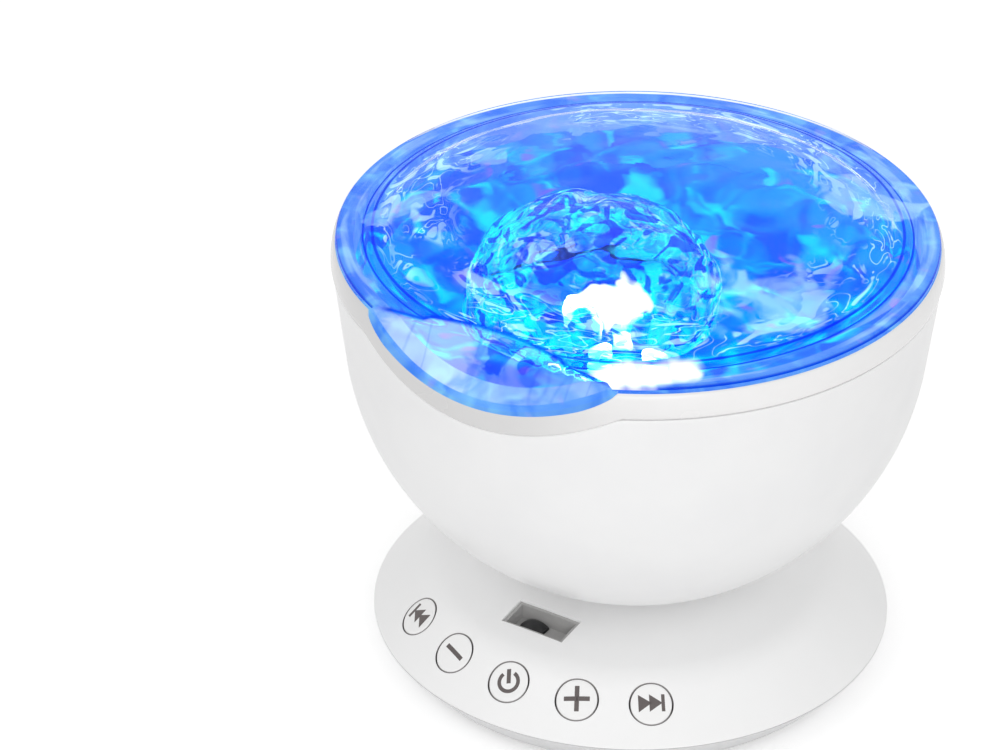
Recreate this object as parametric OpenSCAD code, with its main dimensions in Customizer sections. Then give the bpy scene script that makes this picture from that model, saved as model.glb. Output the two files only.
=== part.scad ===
// Ocean wave projector: a tilting bowl-shaped lamp head on a domed base.
// Millimetres, +Z up, origin on the table under the middle, the keys face -Y.

/* [Base] */
// Radius of the base at its widest ring
base_r = 58.4; // [57.5:0.1:61]
// Height of the widest ring above the table
base_ring_z = 8.9; // [8.7:0.1:9.3]
// Height of the crown above the widest ring
base_crown = 13.91; // [13.8:0.01:14.4]
// Radius of the shoulder between crown and skirt
base_shoulder = 12; // [11:0.1:12.4]
// Slope of the skirt that carries the keys, degrees
base_skirt = 40; // [38:0.5:41]
// Inward lean of the side under the widest ring, degrees
base_under = 42; // [38:0.5:43]
// Wall of both base shells
base_wall = 2.2; // [1.9:0.1:2.4]
// Radius of the socket that carries the ball
seat_r = 17.8; // [16.5:0.1:18.5]

/* [Keys] */
// Distance of the key centres in from the widest edge of the base
key_edge = 7.6; // [7.4:0.1:8.6]
// Angle between neighbouring keys, degrees
key_step = 18.3; // [17:0.1:20]
// Radius of a key cap across the skirt
key_r = 4.5; // [4.2:0.05:4.6]
// Travel of a key
key_travel = 0.7; // [0.4:0.1:0.8]
// Length of the infrared window
window_l = 15.8; // [14:0.2:17]
// Width of the infrared window
window_w = 8.2; // [7.4:0.2:8.6]

/* [Bowl] */
// Radius of the ball-shaped underside
ball_r = 64; // [62.5:0.5:66]
// Outward lean of the wall above the ball, degrees
flare = 6.5; // [5:0.5:8]
// Wall of the bowl
bowl_wall = 2.2; // [1.8:0.1:2.4]
// Height of the rim above the ball's centre
rim_rise = 20.8; // [19.5:0.1:23]
// Tilt of the head either way, degrees
tilt_max = 15; // [8:1:16]

/* [Cover and lip] */
// Height of the white rim ring
ring_h = 6; // [5:0.5:7]
// Thickness of the cover's flange
flange_t = 1.6; // [1.4:0.1:2]
// Rise of the cover's crown
cover_crown = 6.4; // [5:0.2:8]
// Drop of the rim at the middle of the wave lip
lip_depth = 8.8; // [7:0.2:9.6]
// Slope of the facet over the wave lip, degrees
lip_slope = 43.5; // [40:0.5:48]

/* [Lamp drive] */
// Radius of the rippled dome
dome_r = 28; // [26.8:0.2:28.6]
// Height of the dome's cap
dome_h = 20; // [17:0.5:21]
// Shift of the dome to the left of the middle
dome_shift = 11; // [8:0.5:12]
// Gear module
gear_module = 1.25; // [1.25:0.01:1.3]
// Teeth on the dome's gear
gear_teeth = 52; // [52:1:53]
// Teeth on the motor's pinion
pinion_teeth = 14; // [14:2:16]

/* [Hidden] */
$fn = 96;
far = 300;
// Clearances: running, close, assembly and screw hole
run_gap = 0.3;
shaft_gap = 0.05;
fit_gap = 0.1;
hole_gap = 0.15;

// Base outline: a crown arc, a shoulder arc and a straight skirt that meet smoothly,
// a narrow band round the widest ring and an inward lean under it
base_bottom_z = 1.5;
band_h = 0.6;
shoulder_in = 17.4;
shoulder_c = base_r - shoulder_in;
skirt_z = base_ring_z + band_h / 2;
shoulder_z = skirt_z - (base_shoulder - sin(base_skirt) * shoulder_in) / cos(base_skirt);
crown_h = base_ring_z + base_crown - shoulder_z;
crown_r = (crown_h * crown_h + shoulder_c * shoulder_c - base_shoulder * base_shoulder)
    / (2 * (crown_h - base_shoulder));
crown_cz = base_ring_z + base_crown - crown_r;
crown_slope = asin(shoulder_c / (crown_r - base_shoulder));
crown_steps = 14;
shoulder_steps = 8;
function skirt_top(inset) =
    [shoulder_c, shoulder_z] + (base_shoulder - inset) * [sin(base_skirt), cos(base_skirt)];
function crown_z(r, inset = 0) =
    r < shoulder_c * (crown_r - inset) / (crown_r - base_shoulder)
        ? crown_cz + sqrt(pow(crown_r - inset, 2) - r * r)
        : r < skirt_top(inset).x
            ? shoulder_z + sqrt(pow(base_shoulder - inset, 2) - pow(r - shoulder_c, 2))
            : skirt_top(inset).y - (r - skirt_top(inset).x) * tan(base_skirt);
function under_r(z, inset = 0) =
    base_r - (base_ring_z - band_h / 2 - z) * tan(base_under) - inset / cos(base_under);
seam_z = base_ring_z;
floor_z = base_bottom_z + base_wall;

// Socket, stud and ball
seat_z = crown_z(seat_r);
ball_z = seat_z + sqrt(pow(ball_r + run_gap, 2) - seat_r * seat_r);
well_wall = 1.8;
well_depth = 5.3;
well_z = seat_z - well_depth;
well_floor = 2;
stud_z = well_z - well_floor;
stud_r = 3.2;
stud_bore = 1.8;
stud_head_r = 6;
stud_head_h = 2.2;
stud_end = 1.5;
slot_r = stud_r + run_gap;
seat_bore = stud_r + 5;
saddle_r = 8.5;
saddle_t = 2.5;
saddle_z = ball_z - (ball_r - bowl_wall - run_gap);
spring_h = 5;
spring_wire = 0.6;
spring_r = stud_r + run_gap + spring_wire;
nut_z = saddle_z + saddle_t + spring_h;
nut_h = 3;
nut_r = 5.5;

// Bowl outline: the ball runs into a leaning wall, whose foot is sunk a little in the ball
wall_sink = 0.01;
function lean_z(inset) = ball_z - (ball_r - inset) * sin(flare);
function lean_r(z, inset = 0) =
    (ball_r - inset) * cos(flare) + (z - lean_z(inset)) * tan(flare);

// Rim and lip. The lip is a wide cone whose axis stands in front of the rim.
rim_z = ball_z + rim_rise;
ring_proud = 0.25;
ring_bottom_z = rim_z - flange_t - ring_h;
ring_w = 4.6;
ring_in_r = lean_r(ring_bottom_z) - ring_w;
ring_round_h = 4.5;
ring_skirt = 1.5;
skirt_t = 1.4;
cover_inset = 0.75;
cover_r = lean_r(ring_bottom_z) - cover_inset;
cover_edge = 0.8;
border_w = 7.8;
crown_edge_r = cover_r - border_w;
step_w = 2;
step_h = 0.8;
cover_wall = 2;
cap_r = (crown_edge_r * crown_edge_r + cover_crown * cover_crown) / (2 * cover_crown);
cap_cz = rim_z + step_h + cover_crown - cap_r;
lip_k = tan(lip_slope);
lip_r = 240;
lip_axis = cover_r + lip_r - lip_depth / lip_k;

// Stack inside the head, from the tray's ledge downwards
ledge_gap = 0.6;
ledge_z = rim_z - lip_depth - flange_t - ring_h - ring_skirt - ledge_gap;
ledge_w = 3;
ledge_t = 2;
ledge_in_r = ring_in_r - ledge_w;
tray_t = 2;
tray_gap = 0.8;
tray_r = ring_in_r - tray_gap;
dish_depth = 6;
dish_margin = 3;
dish_flat_r = dome_shift + dome_r + dish_margin;
dish_lip = 1.2;
dish_edge_r = ledge_in_r - dish_lip;
dish_z = ledge_z + tray_t - dish_depth;
dome_wall = 1.8;
dome_gap = 0.8;
gear_space = 4.5;
gear_top_z = dish_z - tray_t - gear_space;
gear_h = 5;
gear_z = gear_top_z - gear_h;
plate_t = 2.5;
hub_flange_w = 4;
hub_flange_h = 3.2;
plate_top_z = gear_z - run_gap - hub_flange_h;
plate_z = plate_top_z - plate_t;
hub_r = 25;
plate_margin = 11;
plate_r = dome_shift + hub_r + hub_flange_w + plate_margin;
hub_in_r = 23.2;
hub_top_z = gear_top_z + run_gap;
retainer_t = 1.2;
retainer_lap = 0.8;
wire_hole_r = 4;
upstand_t = 1.6;
upstand_h = 2.5;
skirt_rise = 3;
cap_z = dish_z + skirt_rise;

// Gears
pressure = 25;
backlash = 0.12;
gear_rp = gear_module * gear_teeth / 2;
pinion_rp = gear_module * pinion_teeth / 2;
motor_x = gear_rp + pinion_rp - dome_shift;
motor_r = 9;
motor_h = 19;
motor_boss_r = 3.4;
motor_boss_h = 3.4;
motor_shaft_r = 1.5;
motor_screw_r = 6.6;
motor_screw_bite = 3.5;
shaft_depth = 5.5;
shaft_end = 0.5;
pinion_h = 5.5;
pinion_lap = 0.25;
pinion_z = gear_z - pinion_lap;

// Lamps
led_board_r = 22;
board_t = 1.6;
led_r = 2.5;
led_h = 6.5;
led_lens_r = 3.6;
led_ring_r = 16;
led_core_r = 7;
led_z = plate_top_z + board_t;

// Fasteners
screw_r = 1.45;
pilot_r = screw_r + shaft_gap;
screw_head_r = 2.8;
screw_head_h = 1.9;
screw_bite = 4;
bore_end = 1;
column_r = 4;
chassis_bite = 8;
chassis_inset = 8;
chassis_pcd_r = plate_r - chassis_inset;
base_screw_inset = 12.4;
base_screw_r = base_r - base_screw_inset;
base_column_r = 3.4;
base_column_z = base_ring_z;
base_screw_angles = [15, 165, 195, 345];
small_screw_r = 1.15;
small_head_r = 2.2;
small_head_h = 1.4;
small_boss_r = 2.6;
small_screw_z = base_bottom_z + 1;

// Keys and boards
key_ring_r = base_r - key_edge;
keys = [for (i = [0:4]) 270 + (i - 2) * key_step];
key_gap = 0.4;
key_proud = 0.2;
board_rise = 2.1;
board_z = floor_z + board_rise;
board_top_z = board_z + board_t;
board_in_r = 24;
board_edge = 0.4;
board_out_r = under_r(board_z, base_wall) - board_edge;
board_margin = 10;
board_sweep = 4 * key_step + board_margin;
switch_w = 6;
switch_h = 1.6;
switch_well_r = 1.75;
switch_floor = 0.3;
key_stem_r = 1.6;
press_gap = 0.2;
key_bottom_z = board_top_z + switch_h + key_travel + press_gap;
key_stem_z = board_top_z + switch_floor + key_travel + press_gap;
key_lug = 0.9;
key_lug_w = 2;
key_lug_reach = norm([key_ring_r + key_lug_w / 2, key_r + key_lug]);
key_lug_top_z = crown_z(key_lug_reach, base_wall) - run_gap;
main_screw_in = 14.9;
main_screw_y = main_screw_in - key_ring_r;
main_screws = [[-20, main_screw_y], [20, main_screw_y]];
// Corner from the front key's centre, width and depth of each chip
chips = [[8, 17.5, 9, 9], [-22, 20.5, 5, 4], [5, 5.5, 5, 4]];
chip_h = 1.4;

// Infrared window
window_in = 16.9;
window_pos = [-2.4, window_in - key_ring_r];
liner_t = 0.7;
liner_gap = 0.15;
window_depth = 4.6;
liner_z = crown_z(norm(window_pos)) - window_depth;
liner_inset = 0.5;
frame_w = 2;
receiver_pos = window_pos + [-2.6, 0.7];
receiver_w = 5.6;
receiver_d = 4.4;
receiver_gap = 0.2;
receiver_sink = 2.2;
receiver_lens = 5;
receiver_round = 3;
receiver_top_z = crown_z(norm(window_pos)) - receiver_sink;
leg_pitch = 1.7;
leg_w = 0.6;
leg_h = 2.4;

// Speaker
speaker_r = 20;
speaker_rim = 3;
speaker_rim_t = 1;
speaker_h = 5;
speaker_back_z = floor_z + speaker_h;
speaker_wall = 1.6;
speaker_wall_h = 2;
basket_t = 0.8;
basket_lap = 1.5;
throat_r = 4;
cone_t = 0.5;
cone_r = 5;
cone_h = 3.6;
cone_dip = 0.4;
magnet_r = 9.5;
magnet_h = 3.2;
grille_r = 1.1;
grille_step = 4.4;

// Rear sockets
port_rise = 0.6;
port_z = floor_z + port_rise;
port_top_z = port_z + board_t;
port_depth = 21.6;
port_y = base_r - port_depth;
port_half_w = 24;
port_edge = 0.4;
port_r = under_r(port_z, base_wall) - port_edge;
port_clear = 0.3;
usb_w = 7.8;
usb_h = 3;
usb_d = 6.2;
usb_wall = 0.5;
usb_sink = 2.8;
usb_face_y = base_r - usb_sink;
aux_x = 14;
aux_w = 6.6;
aux_h = 5;
aux_d = 10;
aux_bore = 1.8;
aux_collar = 2.4;
aux_sink = 2.6;
aux_end = 1;
aux_z = port_top_z + aux_h / 2;
aux_face_y = sqrt(pow(base_r - aux_sink, 2) - pow(aux_x + aux_collar, 2));
card_x = -15;
card_w = 13;
card_h = 1.9;
card_d = 13;
card_wall = 0.45;
card_sink = 2.8;
card_face_y = sqrt(pow(base_r - card_sink, 2) - pow(card_w / 2 - card_x, 2));
port_screw_in = 3.5;
port_screw_y = port_y + port_screw_in;
port_screws = [[-5, port_screw_y], [21, port_screw_y]];

// Feet
foot_r = 5.5;
foot_inset = 2;
foot_ring_r = under_r(base_bottom_z) - foot_inset - foot_r;
foot_sink = 1;

white = [0.95, 0.95, 0.95];
trim_white = [0.97, 0.97, 0.97];
key_white = [0.9, 0.9, 0.89];
clear_blue = [0.62, 0.82, 1, 0.35];
lit_blue = [0.15, 0.5, 1];
board_green = [0.1, 0.4, 0.25];
steel = [0.7, 0.71, 0.73];
dark = [0.1, 0.1, 0.11];
smoke = [0.45, 0.45, 0.46];
lamp_white = [0.9, 0.95, 1];

// Shared shapes

module tube(r_out, r_in, h) {
    difference() {
        cylinder(r = r_out, h = h);
        translate([0, 0, -1]) cylinder(r = r_in, h = h + 2);
    }
}

module on_circle(count, radius, start = 0) {
    for (i = [0:count - 1])
        rotate(start + i * 360 / count) translate([radius, 0, 0]) children();
}

module at_angles(angles, radius) {
    for (a = angles) rotate(a) translate([radius, 0, 0]) children();
}

module at_points(points) {
    for (p = points) translate([p.x, p.y, 0]) children();
}

// A block centred in x, standing on z = 0 with its face at y = 0
module block_behind(w, d, h) {
    translate([-w / 2, -d, 0]) cube([w, d, h]);
}

// A cheese-head screw with its head on z = 0 and its shank pointing down
module screw(r, head_r, head_h, length) {
    cylinder(r = head_r, h = head_h);
    translate([0, 0, -length]) cylinder(r = r, h = length + 0.1);
}

module above(z) {
    translate([-far / 2, -far / 2, z]) cube([far, far, far]);
}

// Half profile of the base, inset all round
module base_outline(inset) {
    skirt = skirt_top(inset);
    crown_reach = shoulder_c * (crown_r - inset) / (crown_r - base_shoulder);
    intersection() {
        translate([0, base_bottom_z + inset]) square([base_r - inset, far]);
        polygon([
            [0, 0],
            [under_r(0, inset), 0],
            [under_r(far, inset), far],
            [0, far]
        ]);
        polygon(concat(
            [[0, 0]],
            [for (i = [0:crown_steps]) let (r = crown_reach * i / crown_steps) [r, crown_z(r, inset)]],
            [for (i = [1:shoulder_steps])
                let (a = crown_slope + (base_skirt - crown_slope) * i / shoulder_steps)
                [shoulder_c, shoulder_z] + (base_shoulder - inset) * [sin(a), cos(a)]],
            [[skirt.x + skirt.y / tan(base_skirt), 0]]
        ));
    }
}

module base_solid(inset) {
    rotate_extrude() base_outline(inset);
}

module base_shell() {
    rotate_extrude() difference() {
        base_outline(0);
        base_outline(base_wall);
    }
}

// Half profile of the bowl, inset all round, up to a height
module bowl_outline(inset, top_z) {
    intersection() {
        translate([0, ball_z]) circle(r = ball_r - inset, $fn = 180);
        translate([0, ball_z - ball_r]) square(ball_r);
    }
    polygon([
        [0, lean_z(inset)],
        [lean_r(lean_z(inset), inset) - wall_sink, lean_z(inset)],
        [lean_r(top_z, inset), top_z],
        [0, top_z]
    ]);
}

// The space over the lip facet, lowered by a drop
module lip_cone(drop) {
    low = -40;
    high = 40;
    translate([0, -lip_axis, rim_z + low])
        cylinder(
            r1 = lip_r + (low + drop) / lip_k,
            r2 = lip_r + (high + drop) / lip_k,
            h = high - low,
            $fn = 360
        );
}

// Everything over the rim plane and the lip facet, both lowered by a drop
module over_rim(drop) {
    above(rim_z - drop);
    lip_cone(drop);
}

// Involute spur gear outline, with tooth 0 on the +X axis
function inv(a) = tan(a) * 180 / PI - a;
module gear_outline(teeth) {
    rp = gear_module * teeth / 2;
    rb = rp * cos(pressure);
    tip = rp + 0.95 * gear_module;
    root = rp - 1.2 * gear_module;
    start = max(root + 0.1, rb + 0.02);
    half = 90 / teeth - backlash / rp * 90 / PI;
    steps = 4;
    function flank(r) = half + inv(pressure) - inv(acos(rb / r));
    function polar(r, a) = [r * cos(a), r * sin(a)];
    function at(i) = start + (tip - start) * i / steps;
    polygon([
        for (t = [0:teeth - 1]) let (c = t * 360 / teeth) each concat(
            [polar(root, c - flank(start))],
            [for (i = [0:steps]) polar(at(i), c - flank(at(i)))],
            [for (i = [steps:-1:0]) polar(at(i), c + flank(at(i)))],
            [polar(root, c + flank(start))]
        )
    ]);
}

// Base

module port_cuts() {
    translate([0, base_r, port_top_z - port_clear])
        block_behind(usb_w + 2 * port_clear, usb_sink + usb_d + port_clear, usb_h + 2 * port_clear);
    translate([card_x, base_r, port_top_z - port_clear])
        block_behind(card_w + 2 * port_clear, card_d, card_h + 2 * port_clear);
    translate([aux_x, base_r, aux_z])
        rotate([90, 0, 0]) cylinder(r = aux_collar + port_clear, h = base_r - port_y - aux_d + port_clear);
}

module base_top() color(white) difference() {
    union() {
        intersection() {
            base_shell();
            above(seam_z);
        }
        translate([0, 0, well_z - well_floor])
            intersection() {
                cylinder(r = seat_r + well_wall, h = crown_z(0) - well_z + well_floor);
                translate([0, 0, well_floor - well_z]) base_solid(base_wall / 2);
            }
        intersection() {
            base_solid(base_wall / 2);
            union() {
                at_angles(base_screw_angles, base_screw_r)
                    translate([0, 0, base_column_z]) cylinder(r = base_column_r, h = far);
                translate([window_pos.x, window_pos.y, liner_z])
                    translate([-window_l / 2 - frame_w, -window_w / 2 - frame_w, 0])
                        cube([window_l + 2 * frame_w, window_w + 2 * frame_w, far]);
            }
        }
    }
    translate([0, 0, well_z]) cylinder(r = seat_r + shaft_gap, h = far);
    cylinder(r = stud_r + fit_gap, h = far);
    at_angles(base_screw_angles, base_screw_r)
        translate([0, 0, base_column_z - bore_end]) cylinder(r = pilot_r, h = screw_bite + 2 * bore_end);
    at_angles(keys, key_ring_r) key_round(key_r + key_gap);
    translate([window_pos.x - window_l / 2, window_pos.y - window_w / 2, 0])
        cube([window_l, window_w, far]);
    port_cuts();
}

module base_bottom() color(white) difference() {
    union() {
        difference() {
            base_shell();
            above(seam_z);
        }
        at_angles(base_screw_angles, base_screw_r)
            translate([0, 0, base_bottom_z])
                cylinder(r = base_column_r, h = base_column_z - base_bottom_z);
        translate([0, 0, base_bottom_z])
            tube(speaker_r + speaker_wall, speaker_r + fit_gap, base_wall + speaker_wall_h);
        at_points(main_screws)
            translate([0, 0, base_bottom_z]) cylinder(r = small_boss_r, h = board_z - base_bottom_z);
        at_points(port_screws)
            translate([0, 0, base_bottom_z]) cylinder(r = small_boss_r, h = port_z - base_bottom_z);
    }
    at_angles(base_screw_angles, base_screw_r) {
        cylinder(r = pilot_r, h = far);
        cylinder(r = screw_head_r + run_gap, h = base_bottom_z + screw_head_h);
    }
    on_circle(4, foot_ring_r, 45) cylinder(r = foot_r, h = base_bottom_z + foot_sink);
    at_points(concat(main_screws, port_screws))
        translate([0, 0, small_screw_z - shaft_gap]) cylinder(r = small_screw_r + shaft_gap, h = far);
    cylinder(r = grille_r, h = floor_z + bore_end);
    for (ring = [1:3])
        on_circle(6 * ring, grille_step * ring) cylinder(r = grille_r, h = floor_z + bore_end);
    port_cuts();
}

module rubber_feet() color(dark)
    on_circle(4, foot_ring_r, 45) cylinder(r = foot_r - shaft_gap, h = base_bottom_z + foot_sink);

module base_screws() color(steel)
    at_angles(base_screw_angles, base_screw_r)
        translate([0, 0, base_bottom_z + screw_head_h]) rotate([180, 0, 0])
            screw(screw_r, screw_head_r, screw_head_h,
                base_column_z + screw_bite - base_bottom_z - screw_head_h);

// A key's outline, shortened in plan so that it looks round on the skirt
module key_round(r) {
    scale([cos(base_skirt), 1, 1]) cylinder(r = r, h = far);
}

// A key: a cap cut to the dome's surface, two lugs under the shell and a stem in the switch
module key(index) color(key_white)
    rotate(keys[index]) translate([key_ring_r, 0, 0]) {
        intersection() {
            translate([0, 0, key_bottom_z]) key_round(key_r);
            translate([-key_ring_r, 0, key_proud]) base_solid(0);
        }
        translate([-key_lug_w / 2, -key_r - key_lug, key_bottom_z])
            cube([key_lug_w, 2 * (key_r + key_lug), key_lug_top_z - key_bottom_z]);
        translate([0, 0, key_stem_z]) cylinder(r = key_stem_r, h = key_lug_top_z - key_stem_z);
    }

module button_previous() { key(0); }
module button_minus() { key(1); }
module button_power() { key(2); }
module button_plus() { key(3); }
module button_next() { key(4); }

module ir_bezel() color(smoke) {
    l = window_l - 2 * liner_gap;
    w = window_w - 2 * liner_gap;
    translate([window_pos.x, window_pos.y, 0]) difference() {
        union() {
            intersection() {
                translate([-l / 2, -w / 2, liner_z - liner_t]) cube([l, w, far]);
                translate([-window_pos.x, -window_pos.y, 0]) base_solid(liner_inset);
            }
            translate([-l / 2 - frame_w / 2, -w / 2 - frame_w / 2, liner_z - liner_t])
                cube([l + frame_w, w + frame_w, liner_t]);
        }
        translate([-l / 2 + liner_t, -w / 2 + liner_t, liner_z + liner_t])
            cube([l - 2 * liner_t, w - 2 * liner_t, far]);
        translate([receiver_pos.x - window_pos.x, receiver_pos.y - window_pos.y, 0])
            translate([-receiver_w / 2 - receiver_gap, -receiver_d / 2 - receiver_gap, 0])
                cube([receiver_w + 2 * receiver_gap, receiver_d + 2 * receiver_gap, far]);
    }
}

module ir_receiver() color(dark) translate([receiver_pos.x, receiver_pos.y, 0]) {
    leg_top = board_top_z + leg_h;
    for (i = [-1:1])
        translate([i * leg_pitch - leg_w / 2, -leg_w / 2, board_top_z]) cube([leg_w, leg_w, leg_h + leg_w]);
    intersection() {
        translate([-receiver_w / 2, -receiver_d / 2, leg_top])
            cube([receiver_w, receiver_d, receiver_top_z - leg_top]);
        translate([0, 0, receiver_top_z - receiver_lens]) sphere(r = receiver_lens);
    }
    translate([-receiver_w / 2, -receiver_d / 2, leg_top])
        cube([receiver_w, receiver_d, receiver_top_z - leg_top - receiver_round]);
}

module main_board() color(board_green) difference() {
    translate([0, 0, board_z]) rotate(270 - board_sweep / 2)
        rotate_extrude(angle = board_sweep)
            translate([board_in_r, 0]) square([board_out_r - board_in_r, board_t]);
    at_points(main_screws) cylinder(r = small_screw_r + hole_gap, h = far);
}

module tact_switches() color(dark)
    at_angles(keys, key_ring_r) difference() {
        translate([-switch_w / 2, -switch_w / 2, board_top_z]) cube([switch_w, switch_w, switch_h]);
        translate([0, 0, board_top_z + switch_floor]) cylinder(r = switch_well_r, h = far);
    }

module control_chips() color(dark)
    for (c = chips) translate([c[0], c[1] - key_ring_r, board_top_z]) cube([c[2], c[3], chip_h]);

module board_screws() color(steel) {
    at_points(main_screws) translate([0, 0, board_top_z])
        screw(small_screw_r, small_head_r, small_head_h, board_top_z - small_screw_z);
    at_points(port_screws) translate([0, 0, port_top_z])
        screw(small_screw_r, small_head_r, small_head_h, port_top_z - small_screw_z);
}

module speaker_frame() color(steel) translate([0, 0, floor_z])
    rotate_extrude() polygon([
        [speaker_r - speaker_rim, 0],
        [speaker_r, 0],
        [speaker_r, speaker_rim_t],
        [speaker_r - speaker_rim / 2, speaker_rim_t],
        [magnet_r + basket_lap, speaker_h],
        [throat_r, speaker_h],
        [throat_r, speaker_h - basket_t],
        [magnet_r + basket_lap - basket_t / 2, speaker_h - basket_t],
        [speaker_r - speaker_rim, speaker_rim_t - basket_t / 2]
    ]);

module speaker_cone() color(dark) translate([0, 0, floor_z])
    rotate_extrude() polygon([
        [speaker_r - speaker_rim, 0],
        [speaker_r - speaker_rim, cone_t],
        [cone_r, cone_h],
        [0, cone_h - cone_dip],
        [0, cone_h - cone_dip - cone_t],
        [cone_r, cone_h - cone_t],
        [speaker_r - speaker_rim - cone_t, 0]
    ]);

module speaker_magnet() color(steel)
    translate([0, 0, speaker_back_z]) cylinder(r = magnet_r, h = magnet_h);

module port_board() color(board_green) difference() {
    intersection() {
        translate([-port_half_w, port_y, port_z]) cube([2 * port_half_w, base_r, board_t]);
        cylinder(r = port_r, h = far);
    }
    at_points(port_screws) cylinder(r = small_screw_r + hole_gap, h = far);
}

module usb_socket() color(steel) translate([0, usb_face_y, port_top_z]) difference() {
    block_behind(usb_w, usb_d, usb_h);
    translate([0, bore_end, usb_wall])
        block_behind(usb_w - 2 * usb_wall, usb_d + bore_end - usb_wall, usb_h - 2 * usb_wall);
}

module aux_socket() color(dark) difference() {
    union() {
        translate([aux_x, port_y + aux_d, port_top_z]) block_behind(aux_w, aux_d, aux_h);
        translate([aux_x, aux_face_y, aux_z])
            rotate([90, 0, 0]) cylinder(r = aux_collar, h = aux_face_y - port_y - aux_d / 2);
    }
    translate([aux_x, aux_face_y + bore_end, aux_z])
        rotate([90, 0, 0]) cylinder(r = aux_bore, h = aux_face_y + bore_end - port_y - aux_end);
}

module card_socket() color(steel) translate([card_x, card_face_y, port_top_z]) difference() {
    block_behind(card_w, card_d, card_h);
    translate([0, bore_end, card_wall])
        block_behind(card_w - 2 * card_wall, card_d + bore_end - card_wall, card_h - 2 * card_wall);
}

// Tilting joint between base and head

module seat_ring() color(smoke) difference() {
    translate([0, 0, well_z]) cylinder(r = seat_r, h = well_depth + bore_end);
    translate([0, 0, ball_z]) sphere(r = ball_r + run_gap, $fn = 180);
    translate([0, 0, well_z - 1]) cylinder(r = seat_bore, h = far);
}

module tilt_stud() color(steel) difference() {
    union() {
        translate([0, 0, stud_z - stud_head_h]) cylinder(r = stud_head_r, h = stud_head_h);
        translate([0, 0, stud_z - stud_head_h])
            cylinder(r = stud_r, h = nut_z + nut_h + stud_end - stud_z + stud_head_h);
    }
    cylinder(r = stud_bore, h = far);
}

module tilt_saddle() color(smoke) difference() {
    translate([0, 0, ball_z]) intersection() {
        difference() {
            sphere(r = ball_r - bowl_wall - run_gap, $fn = 180);
            translate([0, 0, saddle_t - (ball_r - bowl_wall - run_gap)]) cylinder(r = far, h = far);
        }
        translate([0, 0, -far]) cylinder(r = saddle_r, h = far);
    }
    cylinder(r = stud_r + fit_gap, h = far);
}

// A pressed coil spring, as one tube swept along its helix
spring_turns = 2;
spring_steps = 18;
spring_sides = 8;
module tilt_spring() {
    z0 = saddle_z + saddle_t + spring_wire + shaft_gap;
    rise = spring_h - 2 * (spring_wire + shaft_gap);
    count = spring_turns * spring_steps;
    function place(i) = let (a = 360 * i / spring_steps) [
        for (s = [0:spring_sides - 1]) let (b = 360 * s / spring_sides, r = spring_r + spring_wire * cos(b))
            [r * cos(a), r * sin(a), z0 + rise * i / count + spring_wire * sin(b)]
    ];
    points = [for (i = [0:count]) each place(i)];
    sides = [
        for (i = [0:count - 1], s = [0:spring_sides - 1])
            let (n = (s + 1) % spring_sides, a = i * spring_sides, b = a + spring_sides)
                each [[a + s, a + n, b + n], [a + s, b + n, b + s]]
    ];
    ends = [
        for (s = [1:spring_sides - 2])
            let (last = count * spring_sides) each [[0, s + 1, s], [last, last + s, last + s + 1]]
    ];
    color(steel) polyhedron(points = points, faces = concat(sides, ends));
}

module tilt_nut() color(steel) translate([0, 0, nut_z]) difference() {
    cylinder(r = nut_r, h = nut_h, $fn = 6);
    translate([0, 0, -1]) cylinder(r = stud_r + shaft_gap, h = nut_h + 2);
}

// Slot in the ball for the stud, over the whole tilt
module tilt_slot() translate([0, 0, ball_z]) {
    swing = tilt_max + asin(slot_r / (ball_r - bowl_wall));
    rotate([90, 0, 90]) translate([0, 0, -slot_r]) linear_extrude(2 * slot_r)
        polygon([[0, 0], [-far * sin(swing), -far * cos(swing)], [far * sin(swing), -far * cos(swing)]]);
}

// Head

module bowl_shell() color(white) difference() {
    union() {
        rotate_extrude() difference() {
            bowl_outline(0, rim_z - flange_t - ring_h);
            bowl_outline(bowl_wall, rim_z);
        }
        intersection() {
            rotate_extrude() bowl_outline(bowl_wall / 2, rim_z - flange_t - ring_h);
            union() {
                translate([0, 0, ledge_z - ledge_t]) tube(far / 2, ledge_in_r, ledge_t);
                on_circle(4, chassis_pcd_r, 45) cylinder(r = column_r, h = plate_z);
            }
        }
    }
    on_circle(4, chassis_pcd_r, 45)
        translate([0, 0, plate_z - chassis_bite - bore_end]) cylinder(r = pilot_r, h = far);
    tilt_slot();
    lip_cone(flange_t + ring_h);
}

// Half profile of the rim ring: a leaning band that rounds over to the cover's edge
module ring_outline() {
    top_z = rim_z - flange_t;
    side_z = top_z - ring_round_h;
    side_r = lean_r(side_z) + ring_proud;
    inward = side_r - cover_r - fit_gap;
    polygon(concat(
        [[ring_in_r, ledge_z], [lean_r(ledge_z) + ring_proud, ledge_z]],
        [for (a = [0:15:90]) [side_r - inward * (1 - cos(a)), side_z + ring_round_h * sin(a)]],
        [[ring_in_r, top_z]]
    ));
}

module rim_ring() color(trim_white) {
    difference() {
        intersection() {
            rotate_extrude() ring_outline();
            over_rim(flange_t + ring_h);
        }
        over_rim(flange_t);
    }
    difference() {
        intersection() {
            translate([0, 0, ledge_z]) tube(ring_in_r + skirt_t, ring_in_r, rim_z - ledge_z);
            over_rim(flange_t + ring_h + ring_skirt);
        }
        over_rim(flange_t + ring_h - ring_skirt / 2);
    }
}

// Half profile of the cover as a solid, down to a height
module cover_outline(low_z) {
    polygon([
        [0, low_z],
        [cover_r, low_z],
        [cover_r, rim_z - cover_edge],
        [cover_r - cover_edge, rim_z],
        [crown_edge_r + step_w, rim_z],
        [crown_edge_r, rim_z + step_h],
        [0, rim_z + step_h]
    ]);
    intersection() {
        translate([0, cap_cz]) circle(r = cap_r, $fn = 360);
        translate([0, rim_z]) square([crown_edge_r, far]);
    }
}

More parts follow.
